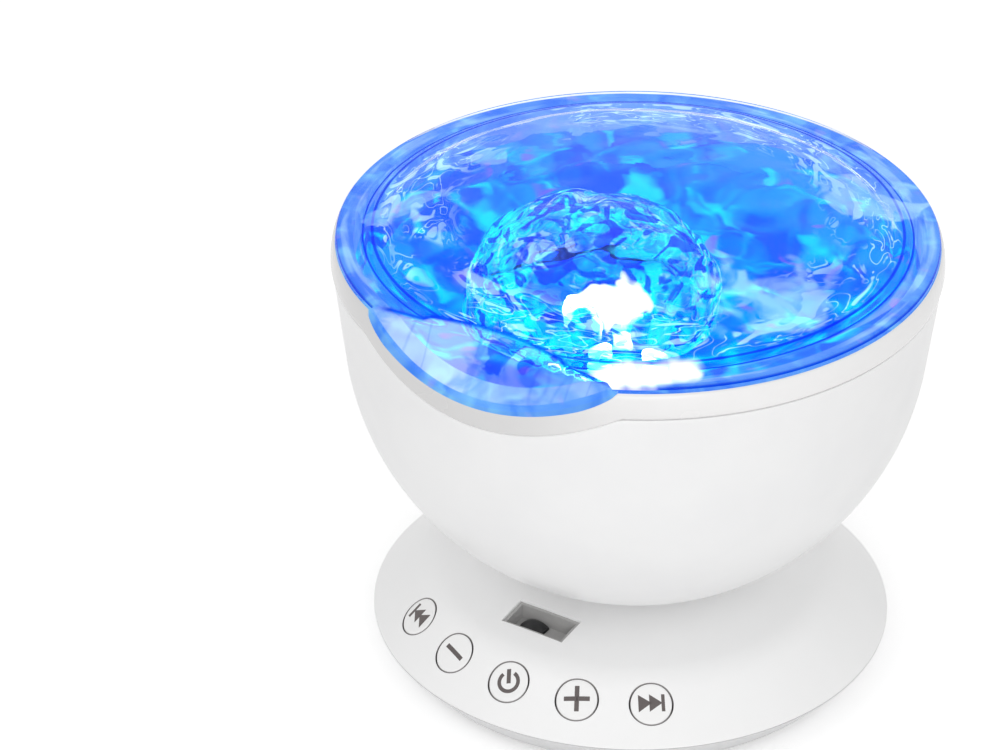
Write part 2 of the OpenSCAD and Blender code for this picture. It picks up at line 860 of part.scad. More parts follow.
module clear_cover() color(clear_blue) difference() {
    union() {
        rotate_extrude() difference() {
            cover_outline(rim_z - flange_t);
            intersection() {
                translate([0, cap_cz]) circle(r = cap_r - cover_wall, $fn = 360);
                square([crown_edge_r - cover_wall, far]);
            }
        }
        intersection() {
            rotate_extrude() cover_outline(ledge_z);
            lip_cone(flange_t);
        }
    }
    lip_cone(0);
}

module light_tray() color(lit_blue) difference() {
    rotate_extrude() polygon([
        [0, dish_z - tray_t],
        [dish_flat_r, dish_z - tray_t],
        [dish_edge_r, ledge_z],
        [tray_r, ledge_z],
        [tray_r, ledge_z + tray_t],
        [dish_edge_r, ledge_z + tray_t],
        [dish_flat_r, dish_z],
        [0, dish_z]
    ]);
    translate([-dome_shift, 0, 0]) cylinder(r = dome_r + dome_gap, h = far);
}

module lamp_chassis() color(white) difference() {
    union() {
        translate([0, 0, plate_z]) cylinder(r = plate_r, h = plate_t);
        translate([-dome_shift, 0, plate_z]) {
            cylinder(r = hub_r + hub_flange_w, h = plate_t + hub_flange_h);
            cylinder(r = hub_r, h = hub_top_z - plate_z);
        }
    }
    translate([-dome_shift, 0, plate_top_z]) cylinder(r = hub_in_r, h = far);
    translate([-dome_shift, 0, 0]) cylinder(r = wire_hole_r, h = far);
    on_circle(4, chassis_pcd_r, 45) cylinder(r = screw_r + hole_gap, h = far);
    translate([motor_x, 0, 0]) {
        cylinder(r = motor_boss_r + fit_gap, h = far);
        on_circle(2, motor_screw_r, 90) cylinder(r = small_screw_r + hole_gap, h = far);
    }
}

module chassis_screws() color(steel)
    on_circle(4, chassis_pcd_r, 45)
        translate([0, 0, plate_top_z]) screw(screw_r, screw_head_r, screw_head_h, plate_t + chassis_bite);

module led_board() color(board_green)
    translate([-dome_shift, 0, plate_top_z]) cylinder(r = led_board_r, h = board_t);

module led() intersection() {
    cylinder(r = led_r, h = led_h);
    translate([0, 0, led_h - led_lens_r]) sphere(r = led_lens_r);
}

module leds() color(lamp_white) translate([-dome_shift, 0, led_z]) {
    on_circle(8, led_ring_r) led();
    on_circle(4, led_core_r, 45) led();
}

module gear_retainer() color(smoke)
    translate([-dome_shift, 0, hub_top_z]) tube(hub_r + retainer_lap, hub_in_r, retainer_t);

module dome_gear() color(trim_white) translate([-dome_shift, 0, gear_z]) difference() {
    union() {
        linear_extrude(gear_h) gear_outline(gear_teeth);
        cylinder(r = dome_r + upstand_t, h = gear_h + upstand_h);
    }
    translate([0, 0, -1]) cylinder(r = hub_r + shaft_gap, h = gear_h + 2);
    translate([0, 0, gear_h]) cylinder(r = dome_r + shaft_gap, h = far);
}

// Rippled dome: a straight skirt under a cap whose outside carries crossing waves
ripple = 0.55;
dome_sides = 60;
dome_rows = 14;
module ripple_dome() {
    last = 86;
    function wave(x, y) = ripple / 2
        * (sin(26 * x + 40 * sin(9 * y)) + sin(24 * y + 50 * sin(8 * x + 30)));
    function ring(r, h, a, turn, wavy) = let (
        x = cos(a) * cos(turn),
        y = cos(a) * sin(turn),
        d = wavy * sin(a) * wave(r * x, r * y)
    ) [(r + d) * x, (r + d) * y, cap_z + (h + d) * sin(a)];
    function skirt(r, turn) = [r * cos(turn), r * sin(turn), gear_top_z];
    function shell(r, h, wavy) = [
        each [for (s = [0:dome_sides - 1]) skirt(r, s * 360 / dome_sides)],
        each [for (i = [0:dome_rows], s = [0:dome_sides - 1])
            ring(r, h, last * i / dome_rows, s * 360 / dome_sides, wavy)],
        [0, 0, cap_z + h]
    ];
    outer = shell(dome_r, dome_h, 1);
    inner = shell(dome_r - dome_wall, dome_h - dome_wall, 0);
    n = len(outer);
    top = dome_rows + 1;
    function wall(base, flip) = concat(
        [for (i = [0:top - 1], s = [0:dome_sides - 1]) let (
            a = base + i * dome_sides + s,
            b = base + i * dome_sides + (s + 1) % dome_sides
        ) each flip ? [[a, b, b + dome_sides], [a, b + dome_sides, a + dome_sides]]
            : [[b, a, a + dome_sides], [b, a + dome_sides, b + dome_sides]]],
        [for (s = [0:dome_sides - 1]) let (
            a = base + top * dome_sides + s,
            b = base + top * dome_sides + (s + 1) % dome_sides
        ) flip ? [a, b, base + n - 1] : [b, a, base + n - 1]]
    );
    foot = [for (s = [0:dome_sides - 1]) let (t = (s + 1) % dome_sides)
        each [[s, t, n + t], [s, n + t, n + s]]];
    color(clear_blue) translate([-dome_shift, 0, 0])
        polyhedron(points = concat(outer, inner), faces = concat(wall(0, false), wall(n, true), foot));
}

module drive_motor() color(steel) translate([motor_x, 0, plate_z]) difference() {
    union() {
        translate([0, 0, -motor_h]) cylinder(r = motor_r, h = motor_h);
        cylinder(r = motor_boss_r, h = motor_boss_h);
    }
    translate([0, 0, -shaft_depth - shaft_end]) cylinder(r = motor_shaft_r + shaft_gap, h = far);
    on_circle(2, motor_screw_r, 90)
        translate([0, 0, -motor_screw_bite - shaft_end]) cylinder(r = small_screw_r + shaft_gap, h = far);
}

module motor_screws() color(steel) translate([motor_x, 0, plate_top_z])
    on_circle(2, motor_screw_r, 90)
        screw(small_screw_r, small_head_r, small_head_h, plate_t + motor_screw_bite);

module motor_shaft() color(steel)
    translate([motor_x, 0, plate_z - shaft_depth])
        cylinder(r = motor_shaft_r, h = pinion_z + pinion_h + shaft_end - plate_z + shaft_depth);

module motor_pinion() color(trim_white) translate([motor_x, 0, pinion_z]) difference() {
    rotate(180 / pinion_teeth) linear_extrude(pinion_h) gear_outline(pinion_teeth);
    translate([0, 0, -1]) cylinder(r = motor_shaft_r + shaft_gap / 5, h = pinion_h + 2);
}

base_top();
base_bottom();
rubber_feet();
base_screws();
button_previous();
button_minus();
button_power();
button_plus();
button_next();
ir_bezel();
ir_receiver();
main_board();
tact_switches();
control_chips();
board_screws();
speaker_frame();
speaker_cone();
speaker_magnet();
port_board();
usb_socket();
aux_socket();
card_socket();
seat_ring();
tilt_stud();
tilt_saddle();
tilt_spring();
tilt_nut();
bowl_shell();
rim_ring();
clear_cover();
light_tray();
lamp_chassis();
chassis_screws();
led_board();
leds();
gear_retainer();
dome_gear();
ripple_dome();
drive_motor();
motor_screws();
motor_shaft();
motor_pinion();
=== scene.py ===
"""Looks of the ocean wave projector: white moulded shells, blue water light and a rippled clear cover."""

import math

import bmesh
import bpy
import numpy as np
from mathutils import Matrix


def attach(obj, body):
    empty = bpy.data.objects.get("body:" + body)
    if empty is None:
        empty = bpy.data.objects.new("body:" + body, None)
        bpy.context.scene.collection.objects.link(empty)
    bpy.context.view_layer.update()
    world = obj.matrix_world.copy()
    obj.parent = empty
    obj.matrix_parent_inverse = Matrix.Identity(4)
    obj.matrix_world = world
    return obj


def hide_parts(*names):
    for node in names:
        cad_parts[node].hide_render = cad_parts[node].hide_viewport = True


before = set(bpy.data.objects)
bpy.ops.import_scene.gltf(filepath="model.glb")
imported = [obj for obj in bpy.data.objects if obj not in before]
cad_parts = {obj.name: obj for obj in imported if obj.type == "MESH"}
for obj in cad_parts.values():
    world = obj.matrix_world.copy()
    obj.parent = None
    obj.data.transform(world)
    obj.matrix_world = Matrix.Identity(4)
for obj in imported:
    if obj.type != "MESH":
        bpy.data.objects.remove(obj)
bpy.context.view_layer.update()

# Sizes of the part, in millimetres
BASE_R = 58.4
BASE_WALL = 2.2
BASE_BOTTOM_Z = 1.5
SEAM_Z = 8.9
SEAM_HALF = 0.04
SEAM_IN = 0.25
BAND = 0.3
EDGE_R = 0.5
TOP_EDGE_UP = 0.067
UNDER_EDGE_DOWN = 0.108
UNDER_EDGE_R = 0.6
SHOULDER = 12.0
SHOULDER_R = 41.0
SHOULDER_Z = 8.135
SKIRT = math.radians(40.0)
UNDER = math.radians(42.0)
CROWN_R = 327.595
CROWN_Z = -304.785
SEAT_R = 17.85
WELL_Z = 17.02
WELL_T = 2.0
WELL_OUT_R = 19.6
STUD_HOLE_R = 3.3
BALL_R = 64.0
BALL_Z = 84.113
BOWL_WALL = 2.2
SLOT_HALF = 3.5
SLOT_REACH = 75.0
FLARE = math.radians(6.5)
RIM_Z = 104.912
FLANGE_T = 1.6
RING_H = 6.0
RING_PROUD = 0.25
RING_IN_R = 61.32
RING_ROUND_H = 4.5
RING_COVER_GAP = 0.1
RING_FOOT_H = 0.36
RING_FOOT_IN = 0.48
RING_SKIRT_T = 1.4
RING_SKIRT_H = 1.5
SEAM_GAP = 0.12
COVER_R = 65.17
CROWN_EDGE_R = 57.37
STEP_W = 2.0
STEP_H = 0.8
CAP_R = 260.33
CAP_Z = -148.218
COVER_WALL = 2.0
COVER_EDGE = 0.8
WAVE_R = 54.0
WAVE_END_R = 56.5
UNDER_CAP_R = 55.0
LIP_K = math.tan(math.radians(43.5))
LIP_R = 240.0
LIP_AXIS = 295.897
LEDGE_Z = 86.41
DISH_Z = 82.41
DISH_FLAT_R = 42.0
DISH_EDGE_R = 57.12
TRAY_R = 60.5
TRAY_T = 2.0
DOME_X = -11.0
DOME_R = 28.0
DOME_H = 20.0
DOME_CAP_Z = 85.41
DOME_FOOT_Z = 75.91
DOME_WALL = 1.8
DOME_GAP = 0.02
TRAY_HOLE_R = 28.8
TILT = math.radians(15.0)

# Keys and their printed signs
KEY_NAMES = ["previous", "minus", "power", "plus", "next"]
KEY_ANGLES = np.radians([233.4, 251.7, 270.0, 288.3, 306.6])
KEY_TWIST = np.radians([6.0, -8.0, 24.0, 9.0, 0.0])
KEY_RING_R = 50.8
KEY_R = 4.5
KEY_GAP = 0.4
KEY_EDGE_R = 0.3
KEY_PROUD = 0.2
KEY_BOTTOM_Z = 9.9
KEY_HOLE_Z = 8.0
PRINT_LIFT = 0.025
SIGN_ARM = 2.85
SIGN_STROKE = 1.02
ARROW_HALF = 1.95
ARROW_BAR = 2.6
POWER_R = 2.2

# Openings of the base. The window has x, y, width and depth, and a cut x, y, half sizes, low and high
WINDOW = (-2.4, -33.9, 15.8, 8.2)
WINDOW_Z = 9.0
OVER_BASE_Z = 30.0
USB_CUT = (0.0, 55.0, 4.2, 5.9, 5.6, 9.2)
CARD_CUT = (-15.0, 54.0, 6.8, 4.6, 5.6, 8.1)
AUX_X = 14.0
AUX_Z = 8.4
AUX_R = 2.7
AUX_FROM_Y = 46.5
AUX_TO_Y = 62.0

# Holes in the underside: angles in degrees, ring radius, hole radius and top
FOOT_HOLES = ((45, 135, 225, 315), 44.507, 5.5, 2.5)
SCREW_HOLES = ((15, 165, 195, 345), 46.0, 3.1, 3.4)
SOUND_RINGS = 4
SOUND_PITCH = 4.4
SOUND_R = 1.1
SOUND_TOP_Z = 4.7

# Share of a quarter round that an edge turns, so that its slope stays finite
RING_TURN = 0.999
COVER_TURN = 0.9999

# Points round a turn
TURN = 256
FINE_TURN = 360
KEY_TURN = 96


# Making meshes

def turn_angles(count=TURN):
    """Angles all round, without the last."""
    return np.linspace(0.0, 2.0 * np.pi, count, endpoint=False)


def smooth_step(low, high, x):
    """0 below low, 1 above high, and 3t^2 - 2t^3 between them."""
    t = np.clip((x - low) / (high - low), 0.0, 1.0)
    return t * t * (3.0 - 2.0 * t)


def polar(r, angle, z):
    """Points at radius r, an angle and a height, as one array."""
    r, angle, z = np.broadcast_arrays(r, angle, z)
    return np.stack([r * np.cos(angle), r * np.sin(angle), z], axis=-1)


def grid_faces(rows, cols, wrap_rows, wrap_cols):
    """Quads of a rows x cols grid of points, joined over its ends where it wraps."""
    i, j = np.meshgrid(
        np.arange(rows if wrap_rows else rows - 1),
        np.arange(cols if wrap_cols else cols - 1),
        indexing="ij",
    )
    up, side = (i + 1) % rows, (j + 1) % cols
    quads = np.stack([i * cols + j, i * cols + side, up * cols + side, up * cols + j], axis=-1)
    return quads.reshape(-1, 4)


def skin(name, sheets, sharp=30.0):
    """One mesh from grids of points in millimetres.

    Each sheet is (points, wraps along rows, wraps along columns, material index). Points that
    coincide are merged, so poles and seams close, and faces are turned outwards. A fourth number of a
    point, where there is one, becomes the mesh's attribute "fold".
    """
    points, faces, slots, folds, start = [], [], [], [], 0
    for grid, wrap_rows, wrap_cols, slot in sheets:
        rows, cols = grid.shape[:2]
        if grid.shape[2] == 4:
            folds.append(grid[..., 3].ravel())
            grid = grid[..., :3]
        quads = grid_faces(rows, cols, wrap_rows, wrap_cols)
        points.append(grid.reshape(-1, 3) * 0.001)
        faces.append(quads + start)
        slots.append(np.full(len(quads), slot))
        start += rows * cols
    mesh = bpy.data.meshes.new(name)
    mesh.from_pydata(np.concatenate(points).tolist(), [], np.concatenate(faces).tolist())
    mesh.polygons.foreach_set("material_index", np.concatenate(slots).astype(np.int32))
    if folds:
        mesh.attributes.new("fold", "FLOAT", "POINT").data.foreach_set("value", np.concatenate(folds))
    work = bmesh.new()
    work.from_mesh(mesh)
    bmesh.ops.remove_doubles(work, verts=work.verts, dist=2e-7)
    bmesh.ops.dissolve_degenerate(work, edges=work.edges, dist=2e-7)
    bmesh.ops.recalc_face_normals(work, faces=work.faces)
    work.to_mesh(mesh)
    work.free()
    piece = bpy.data.objects.new(name, mesh)
    bpy.context.scene.collection.objects.link(piece)
    shade(piece, sharp)
    return piece


def shade(piece, sharp):
    """Smooth shading, with an edge kept where its faces meet at more than sharp degrees."""
    mesh = piece.data
    mesh.polygons.foreach_set("use_smooth", np.ones(len(mesh.polygons), dtype=bool))
    mesh.set_sharp_from_angle(angle=math.radians(sharp))


def revolved(profile, count=TURN):
    """Points of a closed or open (r, z) profile carried once round the Z axis: rows follow the profile."""
    profile = np.asarray(profile, float)
    return polar(profile[:, :1], turn_angles(count)[None, :], profile[:, 1:])


def carve(piece, cutters, sharp=30.0):
    """Takes the cutters out of a piece, and removes them."""
    for cutter in cutters:
        cut = piece.modifiers.new("cut", "BOOLEAN")
        cut.operation = "DIFFERENCE"
        cut.solver = "EXACT"
        cut.object = cutter
    bpy.context.view_layer.update()
    depsgraph = bpy.context.evaluated_depsgraph_get()
    mesh = bpy.data.meshes.new_from_object(piece.evaluated_get(depsgraph))
    piece.modifiers.clear()
    old = piece.data
    piece.data = mesh
    bpy.data.meshes.remove(old)
    for cutter in cutters:
        bpy.data.objects.remove(cutter)
    shade(piece, sharp)


def rod(name, x, y, r, low, high, count=48):
    """A closed upright rod: a revolved box profile moved to (x, y)."""
    grid = revolved([(0, low), (r, low), (r, high), (0, high)], count)
    return skin(name, [(grid + np.array([x, y, 0.0]), False, True, 0)])


def block(name, x, y, half_x, half_y, low, high):
    """A closed upright block: a square ring carried from low to high, with pinched ends."""
    ring = np.array([[-1, -1], [1, -1], [1, 1], [-1, 1]]) * [half_x, half_y]
    ends = ((0, low), (1, low), (1, high), (0, high))
    rows = [np.column_stack([ring * s + [x, y], np.full(4, z)]) for s, z in ends]
    return skin(name, [(np.array(rows), False, True, 0)])


def finish_piece(piece, materials, body, slot, *nodes):
    """Gives a piece its materials and its body, and hides the nodes that it stands for; the finish slot is
    not used.
    """
    for material in materials:
        piece.data.materials.append(material)
    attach(piece, body)
    for node in nodes:
        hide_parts(node)


# Shader building

def sockets_of(tree, kind):
    """The maker of a group's inputs or outputs."""
    def add(name, socket, default=None):
        """Adds a socket, with a default where one is given."""
        item = tree.interface.new_socket(name, in_out=kind, socket_type=socket)
        if default is not None:
            item.default_value = default
    return add


class Wiring:
    """Adds nodes to a tree and links them, so that a chain of shading reads in order."""

    def __init__(self, tree):
        """Works on one node tree."""
        self.tree = tree

    def node(self, kind, **settings):
        """A new node with its settings."""
        node = self.tree.nodes.new(kind)
        for key, value in settings.items():
            setattr(node, key, value)
        return node

    def put(self, socket, value):
        """Links a socket to another one, or sets it to a plain value."""
        if isinstance(value, bpy.types.NodeSocket):
            self.tree.links.new(value, socket)
        else:
            socket.default_value = value

    def maths(self, operation, a, b=0.0, c=0.0):
        """One sum on up to three numbers."""
        node = self.node("ShaderNodeMath", operation=operation)
        for socket, value in zip(node.inputs, (a, b, c)):
            self.put(socket, value)
        return node.outputs[0]

    def mix(self, factor, a, b, blend="MIX"):
        """Colour a, changed towards b by a factor."""
        node = self.node("ShaderNodeMix", data_type="RGBA", blend_type=blend)
        self.put(node.inputs["Factor"], factor)
        self.put(node.inputs[6], a)
        self.put(node.inputs[7], b)
        return node.outputs[2]

    def noise(self, place, scale, detail=2.0, rough=0.5, warp=0.0):
        """Smooth noise about 0.5, with scale in waves to the metre."""
        node = self.node("ShaderNodeTexNoise")
        self.put(node.inputs["Vector"], place)
        self.put(node.inputs["Scale"], scale)
        node.inputs["Detail"].default_value = detail
        node.inputs["Roughness"].default_value = rough
        node.inputs["Distortion"].default_value = warp
        return node.outputs["Fac"]

    def span(self, value, low, high, to_low=0.0, to_high=1.0):
        """A value taken from one range to another, with an S-shaped rise and flat ends."""
        node = self.node("ShaderNodeMapRange", interpolation_type="SMOOTHSTEP")
        keys = ("Value", "From Min", "From Max", "To Min", "To Max")
        for key, number in zip(keys, (value, low, high, to_low, to_high)):
            self.put(node.inputs[key], number)
        return node.outputs["Result"]

    def place(self, turn=0.0, stretch=(1.0, 1.0, 1.0)):
        """Object coordinates in metres, turned about Z and stretched."""
        coords = self.node("ShaderNodeTexCoord")
        mapping = self.node("ShaderNodeMapping")
        mapping.inputs["Rotation"].default_value = (0.0, 0.0, turn)
        mapping.inputs["Scale"].default_value = stretch
        self.put(mapping.inputs["Vector"], coords.outputs["Object"])
        return mapping.outputs["Vector"]

    def parts(self, place):
        """X, Y and Z of a place."""
        node = self.node("ShaderNodeSeparateXYZ")
        self.put(node.inputs[0], place)
        return node.outputs

    def distance(self, place, spot):
        """How far a place is from a spot, in metres."""
        node = self.node("ShaderNodeVectorMath", operation="DISTANCE")
        self.put(node.inputs[0], place)
        node.inputs[1].default_value = spot
        return node.outputs["Value"]

    def near(self, place, spot, reach, wander=0.0, full=0.8):
        """1 within the full share of a reach round a spot, softly 0 beyond, with an edge that wanders."""
        return self.span(self.maths("ADD", self.distance(place, spot), wander), reach, reach * full)

    def bump(self, shader, height, strength, depth):
        """Tilts a shader's normal by the slope of a height, at a depth in metres."""
        node = self.node("ShaderNodeBump")
        node.inputs["Strength"].default_value = strength
        node.inputs["Distance"].default_value = depth
        self.put(node.inputs["Height"], height)
        self.put(shader.inputs["Normal"], node.outputs["Normal"])

    def use(self, group, **values):
        """The outputs of a group that is given its values by the names of its inputs."""
        node = self.node("ShaderNodeGroup", node_tree=group)
        for key, value in values.items():
            self.put(node.inputs[key], value)
        return node.outputs


def new_group(name):
    """An empty node group, its wiring, and the makers of its inputs and outputs."""
    tree = bpy.data.node_groups.new(name, "ShaderNodeTree")
    wires = Wiring(tree)
    return tree, wires, sockets_of(tree, "INPUT"), sockets_of(tree, "OUTPUT")


def moulded_grain():
    """Fine moulding grain: a pale cloudiness, a roughness that wanders, and a height for the bump."""
    tree, w, give, send = new_group("moulded grain")
    give("Tint", "NodeSocketColor", (0.86, 0.86, 0.86, 1.0))
    give("Shade", "NodeSocketColor", (0.82, 0.82, 0.825, 1.0))
    give("Roughness", "NodeSocketFloat", 0.32)
    send("Color", "NodeSocketColor")
    send("Roughness", "NodeSocketFloat")
    send("Height", "NodeSocketFloat")
    inward = w.node("NodeGroupInput").outputs
    outward = w.node("NodeGroupOutput").inputs
    spot = w.place()
    cloud = w.noise(spot, 45.0, 3.0, 0.6)
    grain = w.noise(spot, 2600.0, 2.0, 0.6)
    wander = w.maths("MULTIPLY_ADD", cloud, 0.1, -0.05)
    w.put(outward["Color"], w.mix(w.span(cloud, 0.35, 0.7), inward["Tint"], inward["Shade"]))
    w.put(outward["Roughness"], w.maths("ADD", inward["Roughness"], wander))
    w.put(outward["Height"], grain)
    return tree


def water_light():
    """Water light: deep blue mixed with azure, then cyan patches and a few violet specks, all from noise."""
    tree, w, give, send = new_group("water light")
    give("Place", "NodeSocketVector")
    give("Deep", "NodeSocketColor", (0.0, 0.1, 1.0, 1.0))
    give("Azure", "NodeSocketColor", (0.0, 0.3, 1.0, 1.0))
    give("Cyan", "NodeSocketColor", (0.0, 0.74, 1.0, 1.0))
    give("Violet", "NodeSocketColor", (0.3, 0.1, 0.9, 1.0))
    send("Color", "NodeSocketColor")
    inward = w.node("NodeGroupInput").outputs
    outward = w.node("NodeGroupOutput").inputs
    place = inward["Place"]
    broad = w.noise(place, 60.0, 3.0, 0.6, 0.5)
    patch = w.noise(place, 110.0, 2.0, 0.5, 0.5)
    speck = w.noise(place, 150.0, 1.0, 0.4, 0.3)
    colour = w.mix(w.span(broad, 0.36, 0.62), inward["Deep"], inward["Azure"])
    colour = w.mix(w.span(patch, 0.5, 0.74), colour, inward["Cyan"])
    w.put(outward["Color"], w.mix(w.span(speck, 0.64, 0.78, 0.0, 0.6), colour, inward["Violet"]))
    return tree


def water_glints():
    """Glints on water: thin contours and filled patches of a warped noise, broken up by a broad one."""
    tree, w, give, send = new_group("water glints")
    give("Place", "NodeSocketVector")
    give("Scale", "NodeSocketFloat", 100.0)
    give("More", "NodeSocketFloat", 0.0)
    give("Lines", "NodeSocketFloat", 0.9)
    send("Mask", "NodeSocketFloat")
    inward = w.node("NodeGroupInput").outputs
    outward = w.node("NodeGroupOutput").inputs
    ripple = w.noise(inward["Place"], inward["Scale"], 1.5, 0.5, 1.4)
    broad = w.noise(inward["Place"], w.maths("MULTIPLY", inward["Scale"], 0.45), 1.0, 0.5, 0.4)
    away = w.maths("ABSOLUTE", w.maths("SUBTRACT", ripple, 0.47))
    line = w.maths("MULTIPLY", w.span(away, 0.016, 0.004), inward["Lines"])
    patch = w.span(ripple, 0.575, 0.62, 0.0, 0.8)
    share = w.span(w.maths("ADD", broad, inward["More"]), 0.42, 0.56)
    w.put(outward["Mask"], w.maths("MULTIPLY", w.maths("MAXIMUM", line, patch), share))
    return tree


GRAIN = moulded_grain()
WATER = water_light()
GLINTS = water_glints()

# Looks of the clear pieces and places on them, in metres as Object coordinates are
GRAIN_DEPTH = 0.0002
FLOW_DEPTH = 0.001
COVER_TINT = (0.9, 0.95, 1.0)
COVER_IOR = 1.12
DOME_TINT = (0.7, 0.9, 1.0)
DOME_IOR = 1.14
# Dark blue of painted shade, for lines along the cover's step, edge and fold and across the lip's facet.
PAINTED_SHADE_BLUE = (0.0, 0.06, 0.7, 1.0)
BANK_SPOT = (-0.0145, -0.0608, 0.1004)
# A patch of painted shade on the lip's facet.
PAINTED_SHADE_SPOT = (0.0028, -0.0568, 0.104)
GLARE_FROM = (0.0285, -0.0553, 0.105)
GLARE_TO = (0.0381, -0.0465, 0.105)
GLARE_COUNT = 5
GLARE_R = 0.0054

# Pools of light on the cover: place, reach and strength
POOLS = (
    ((0.041, -0.013, 0.108), 0.0135, 0.65),
    ((0.0385, 0.035, 0.107), 0.0095, 0.55),
    ((-0.0465, -0.0245, 0.107), 0.006, 0.5),
    ((-0.041, 0.001, 0.108), 0.005, 0.4),
)

# Blaze on the dome: place, reach and the full share of it
BLAZE = (
    ((0.0065, -0.0167, 0.096), 0.006, 0.8),
    ((-0.0005, -0.0185, 0.096), 0.003, 0.7),
)

# Groups of lamps that burn white: place and reach
WHITE_LAMPS = (
    ((-0.0167, 0.0137, 0.072), 0.0105),
    ((-0.0005, -0.0025, 0.072), 0.0095),
)


def new_material(name):
    """A material, its wiring and its shader."""
    material = bpy.data.materials.new(name)
    material.use_nodes = True
    w = Wiring(material.node_tree)
    shader = material.node_tree.nodes["Principled BSDF"]
    return material, w, shader


def moulded(name, tint, shade_tint, rough, bump=0.06, painted_shading=None):
    """Moulded plastic with the shared grain, and painted shading: a tone that may change with the distance
    from a spot.
    """
    material, w, shader = new_material(name)
    grain = w.use(GRAIN, Tint=(*tint, 1.0), Shade=(*shade_tint, 1.0), Roughness=rough)
    colour = grain["Color"]
    if painted_shading:
        # Painted light and shade: the colour goes towards itself times a tone, by the distance from a spot.
        spot, low, high, tone = painted_shading
        share = w.span(w.distance(w.place(), spot), low, high)
        colour = w.mix(share, colour, w.mix(1.0, colour, (tone, tone, tone, 1.0), "MULTIPLY"))
    w.put(shader.inputs["Base Color"], colour)
    w.put(shader.inputs["Roughness"], grain["Roughness"])
    w.bump(shader, grain["Height"], bump, GRAIN_DEPTH)
    return material


def metal(name, tint, rough):
    """Plated steel with fine turning marks round the piece."""
    material, w, shader = new_material(name)
    marks = w.noise(w.place(stretch=(1.0, 1.0, 9.0)), 900.0, 3.0, 0.6)
    worn = (*[t * 0.8 for t in tint], 1.0)
    w.put(shader.inputs["Base Color"], w.mix(w.span(marks, 0.35, 0.7), (*tint, 1.0), worn))
    w.put(shader.inputs["Roughness"], w.span(marks, 0.3, 0.7, rough, rough + 0.18))
    shader.inputs["Metallic"].default_value = 1.0
    return material


def lit(name, glow, place_turn=0.4, stretch=(1.0, 1.0, 1.0), dark_below=0.0, **colours):
    """A surface bathed in water light, which glows with the colour that it shows, but not below a height."""
    material, w, shader = new_material(name)
    colour = w.use(WATER, Place=w.place(place_turn, stretch), **colours)["Color"]
    if dark_below:
        above = w.span(w.parts(w.place())["Z"], dark_below, dark_below + 0.001)
        colour = w.mix(above, (0.0, 0.004, 0.03, 1.0), colour)
    w.put(shader.inputs["Base Color"], w.mix(1.0, colour, (0.25, 0.25, 0.25, 1.0), "MULTIPLY"))
    w.put(shader.inputs["Emission Color"], colour)
    shader.inputs["Emission Strength"].default_value = glow
    shader.inputs["Roughness"].default_value = 0.9
    shader.inputs["Specular IOR Level"].default_value = 0.0
    return material


def clear(name, tint, ior):
    """Clear plastic: glass-like, faintly tinted, with a fine flow and a haze of its lamp's light."""
    material, w, shader = new_material(name)
    shader.inputs["Base Color"].default_value = (*tint, 1.0)
    shader.inputs["Transmission Weight"].default_value = 1.0
    shader.inputs["IOR"].default_value = ior
    shader.inputs["Specular IOR Level"].default_value = 0.15
    shader.inputs["Roughness"].default_value = 0.0
    flow = w.noise(w.place(), 140.0, 2.0, 0.5, 0.8)
    w.bump(shader, flow, 0.06, FLOW_DEPTH)
    haze = w.mix(w.span(flow, 0.3, 0.7), (0.0, 0.003, 0.05, 1.0), (0.0, 0.008, 0.05, 1.0))
    w.put(shader.inputs["Emission Color"], haze)
    shader.inputs["Emission Strength"].default_value = 1.0
    return material, w, shader, haze


white_shell = moulded("white_shell", (0.885, 0.885, 0.887), (0.865, 0.865, 0.87), 0.34)
# Trim with painted shade: darker by a fifth round a spot at the lip, where less light falls on it.
white_trim = moulded("white_trim", (0.87, 0.865, 0.865), (0.85, 0.845, 0.845), 0.26,
                     painted_shading=((-0.012, -0.066, 0.096), 0.06, 0.015, 0.8))
key_white = moulded("key_white", (0.925, 0.923, 0.92), (0.905, 0.903, 0.9), 0.42)
print_grey = moulded("print_grey", (0.105, 0.088, 0.086), (0.13, 0.11, 0.108), 0.55)
# Base with painted shading: darker beyond 50 mm from the middle, so lighter near the bowl's foot, where the
# bowl's shadow falls, and darker on the skirt, which the key light strikes.
base_white = moulded("base_white", (0.98, 0.98, 0.98), (0.97, 0.97, 0.97), 0.34,
                     painted_shading=((0.0, 0.0, 0.015), 0.034, 0.05, 0.95))
# A grey of painted shade, for walls and sides that lie in shadow in holes and seams.
painted_gap_shade = moulded("painted_gap_shade", (0.38, 0.36, 0.36), (0.42, 0.4, 0.4), 0.6)
# A darker white for the lower shell: painted shade on the side that faces down.
under_white_painted_shade = moulded("under_white_painted_shade", (0.74, 0.74, 0.745), (0.72, 0.72, 0.725), 0.36)
smoke = moulded("smoke_plastic", (0.43, 0.425, 0.42), (0.5, 0.495, 0.49), 0.3)
black_plastic = moulded("black_plastic", (0.018, 0.018, 0.02), (0.03, 0.03, 0.032), 0.4)
rubber = moulded("rubber_black", (0.03, 0.03, 0.03), (0.045, 0.045, 0.045), 0.75, bump=0.25)
inner_plastic = moulded("inner_plastic", (0.7, 0.7, 0.7), (0.66, 0.66, 0.66), 0.5)
board_green = moulded("solder_mask", (0.02, 0.16, 0.08), (0.03, 0.2, 0.1), 0.35)
steel = metal("plated_steel", (0.62, 0.63, 0.65), 0.28)
tray_light = lit("tray_light", 0.9)
wall_light = lit("wall_light", 0.85, 1.1, (1.0, 1.0, 2.2), dark_below=0.08)
core_light = lit(
    "core_light", 1.1, 0.2, (1.8, 1.8, 1.8), dark_below=0.0655,
    Deep=(0.0, 0.16, 0.95, 1.0), Azure=(0.0, 0.5, 1.0, 1.0),
)
ring_light = lit(
    "ring_light", 0.68, 0.2, (1.4, 1.4, 1.4),
    Deep=(0.07, 0.27, 0.98, 1.0), Azure=(0.16, 0.43, 1.0, 1.0),
    Cyan=(0.24, 0.62, 1.0, 1.0), Violet=(0.32, 0.38, 1.0, 1.0),
)


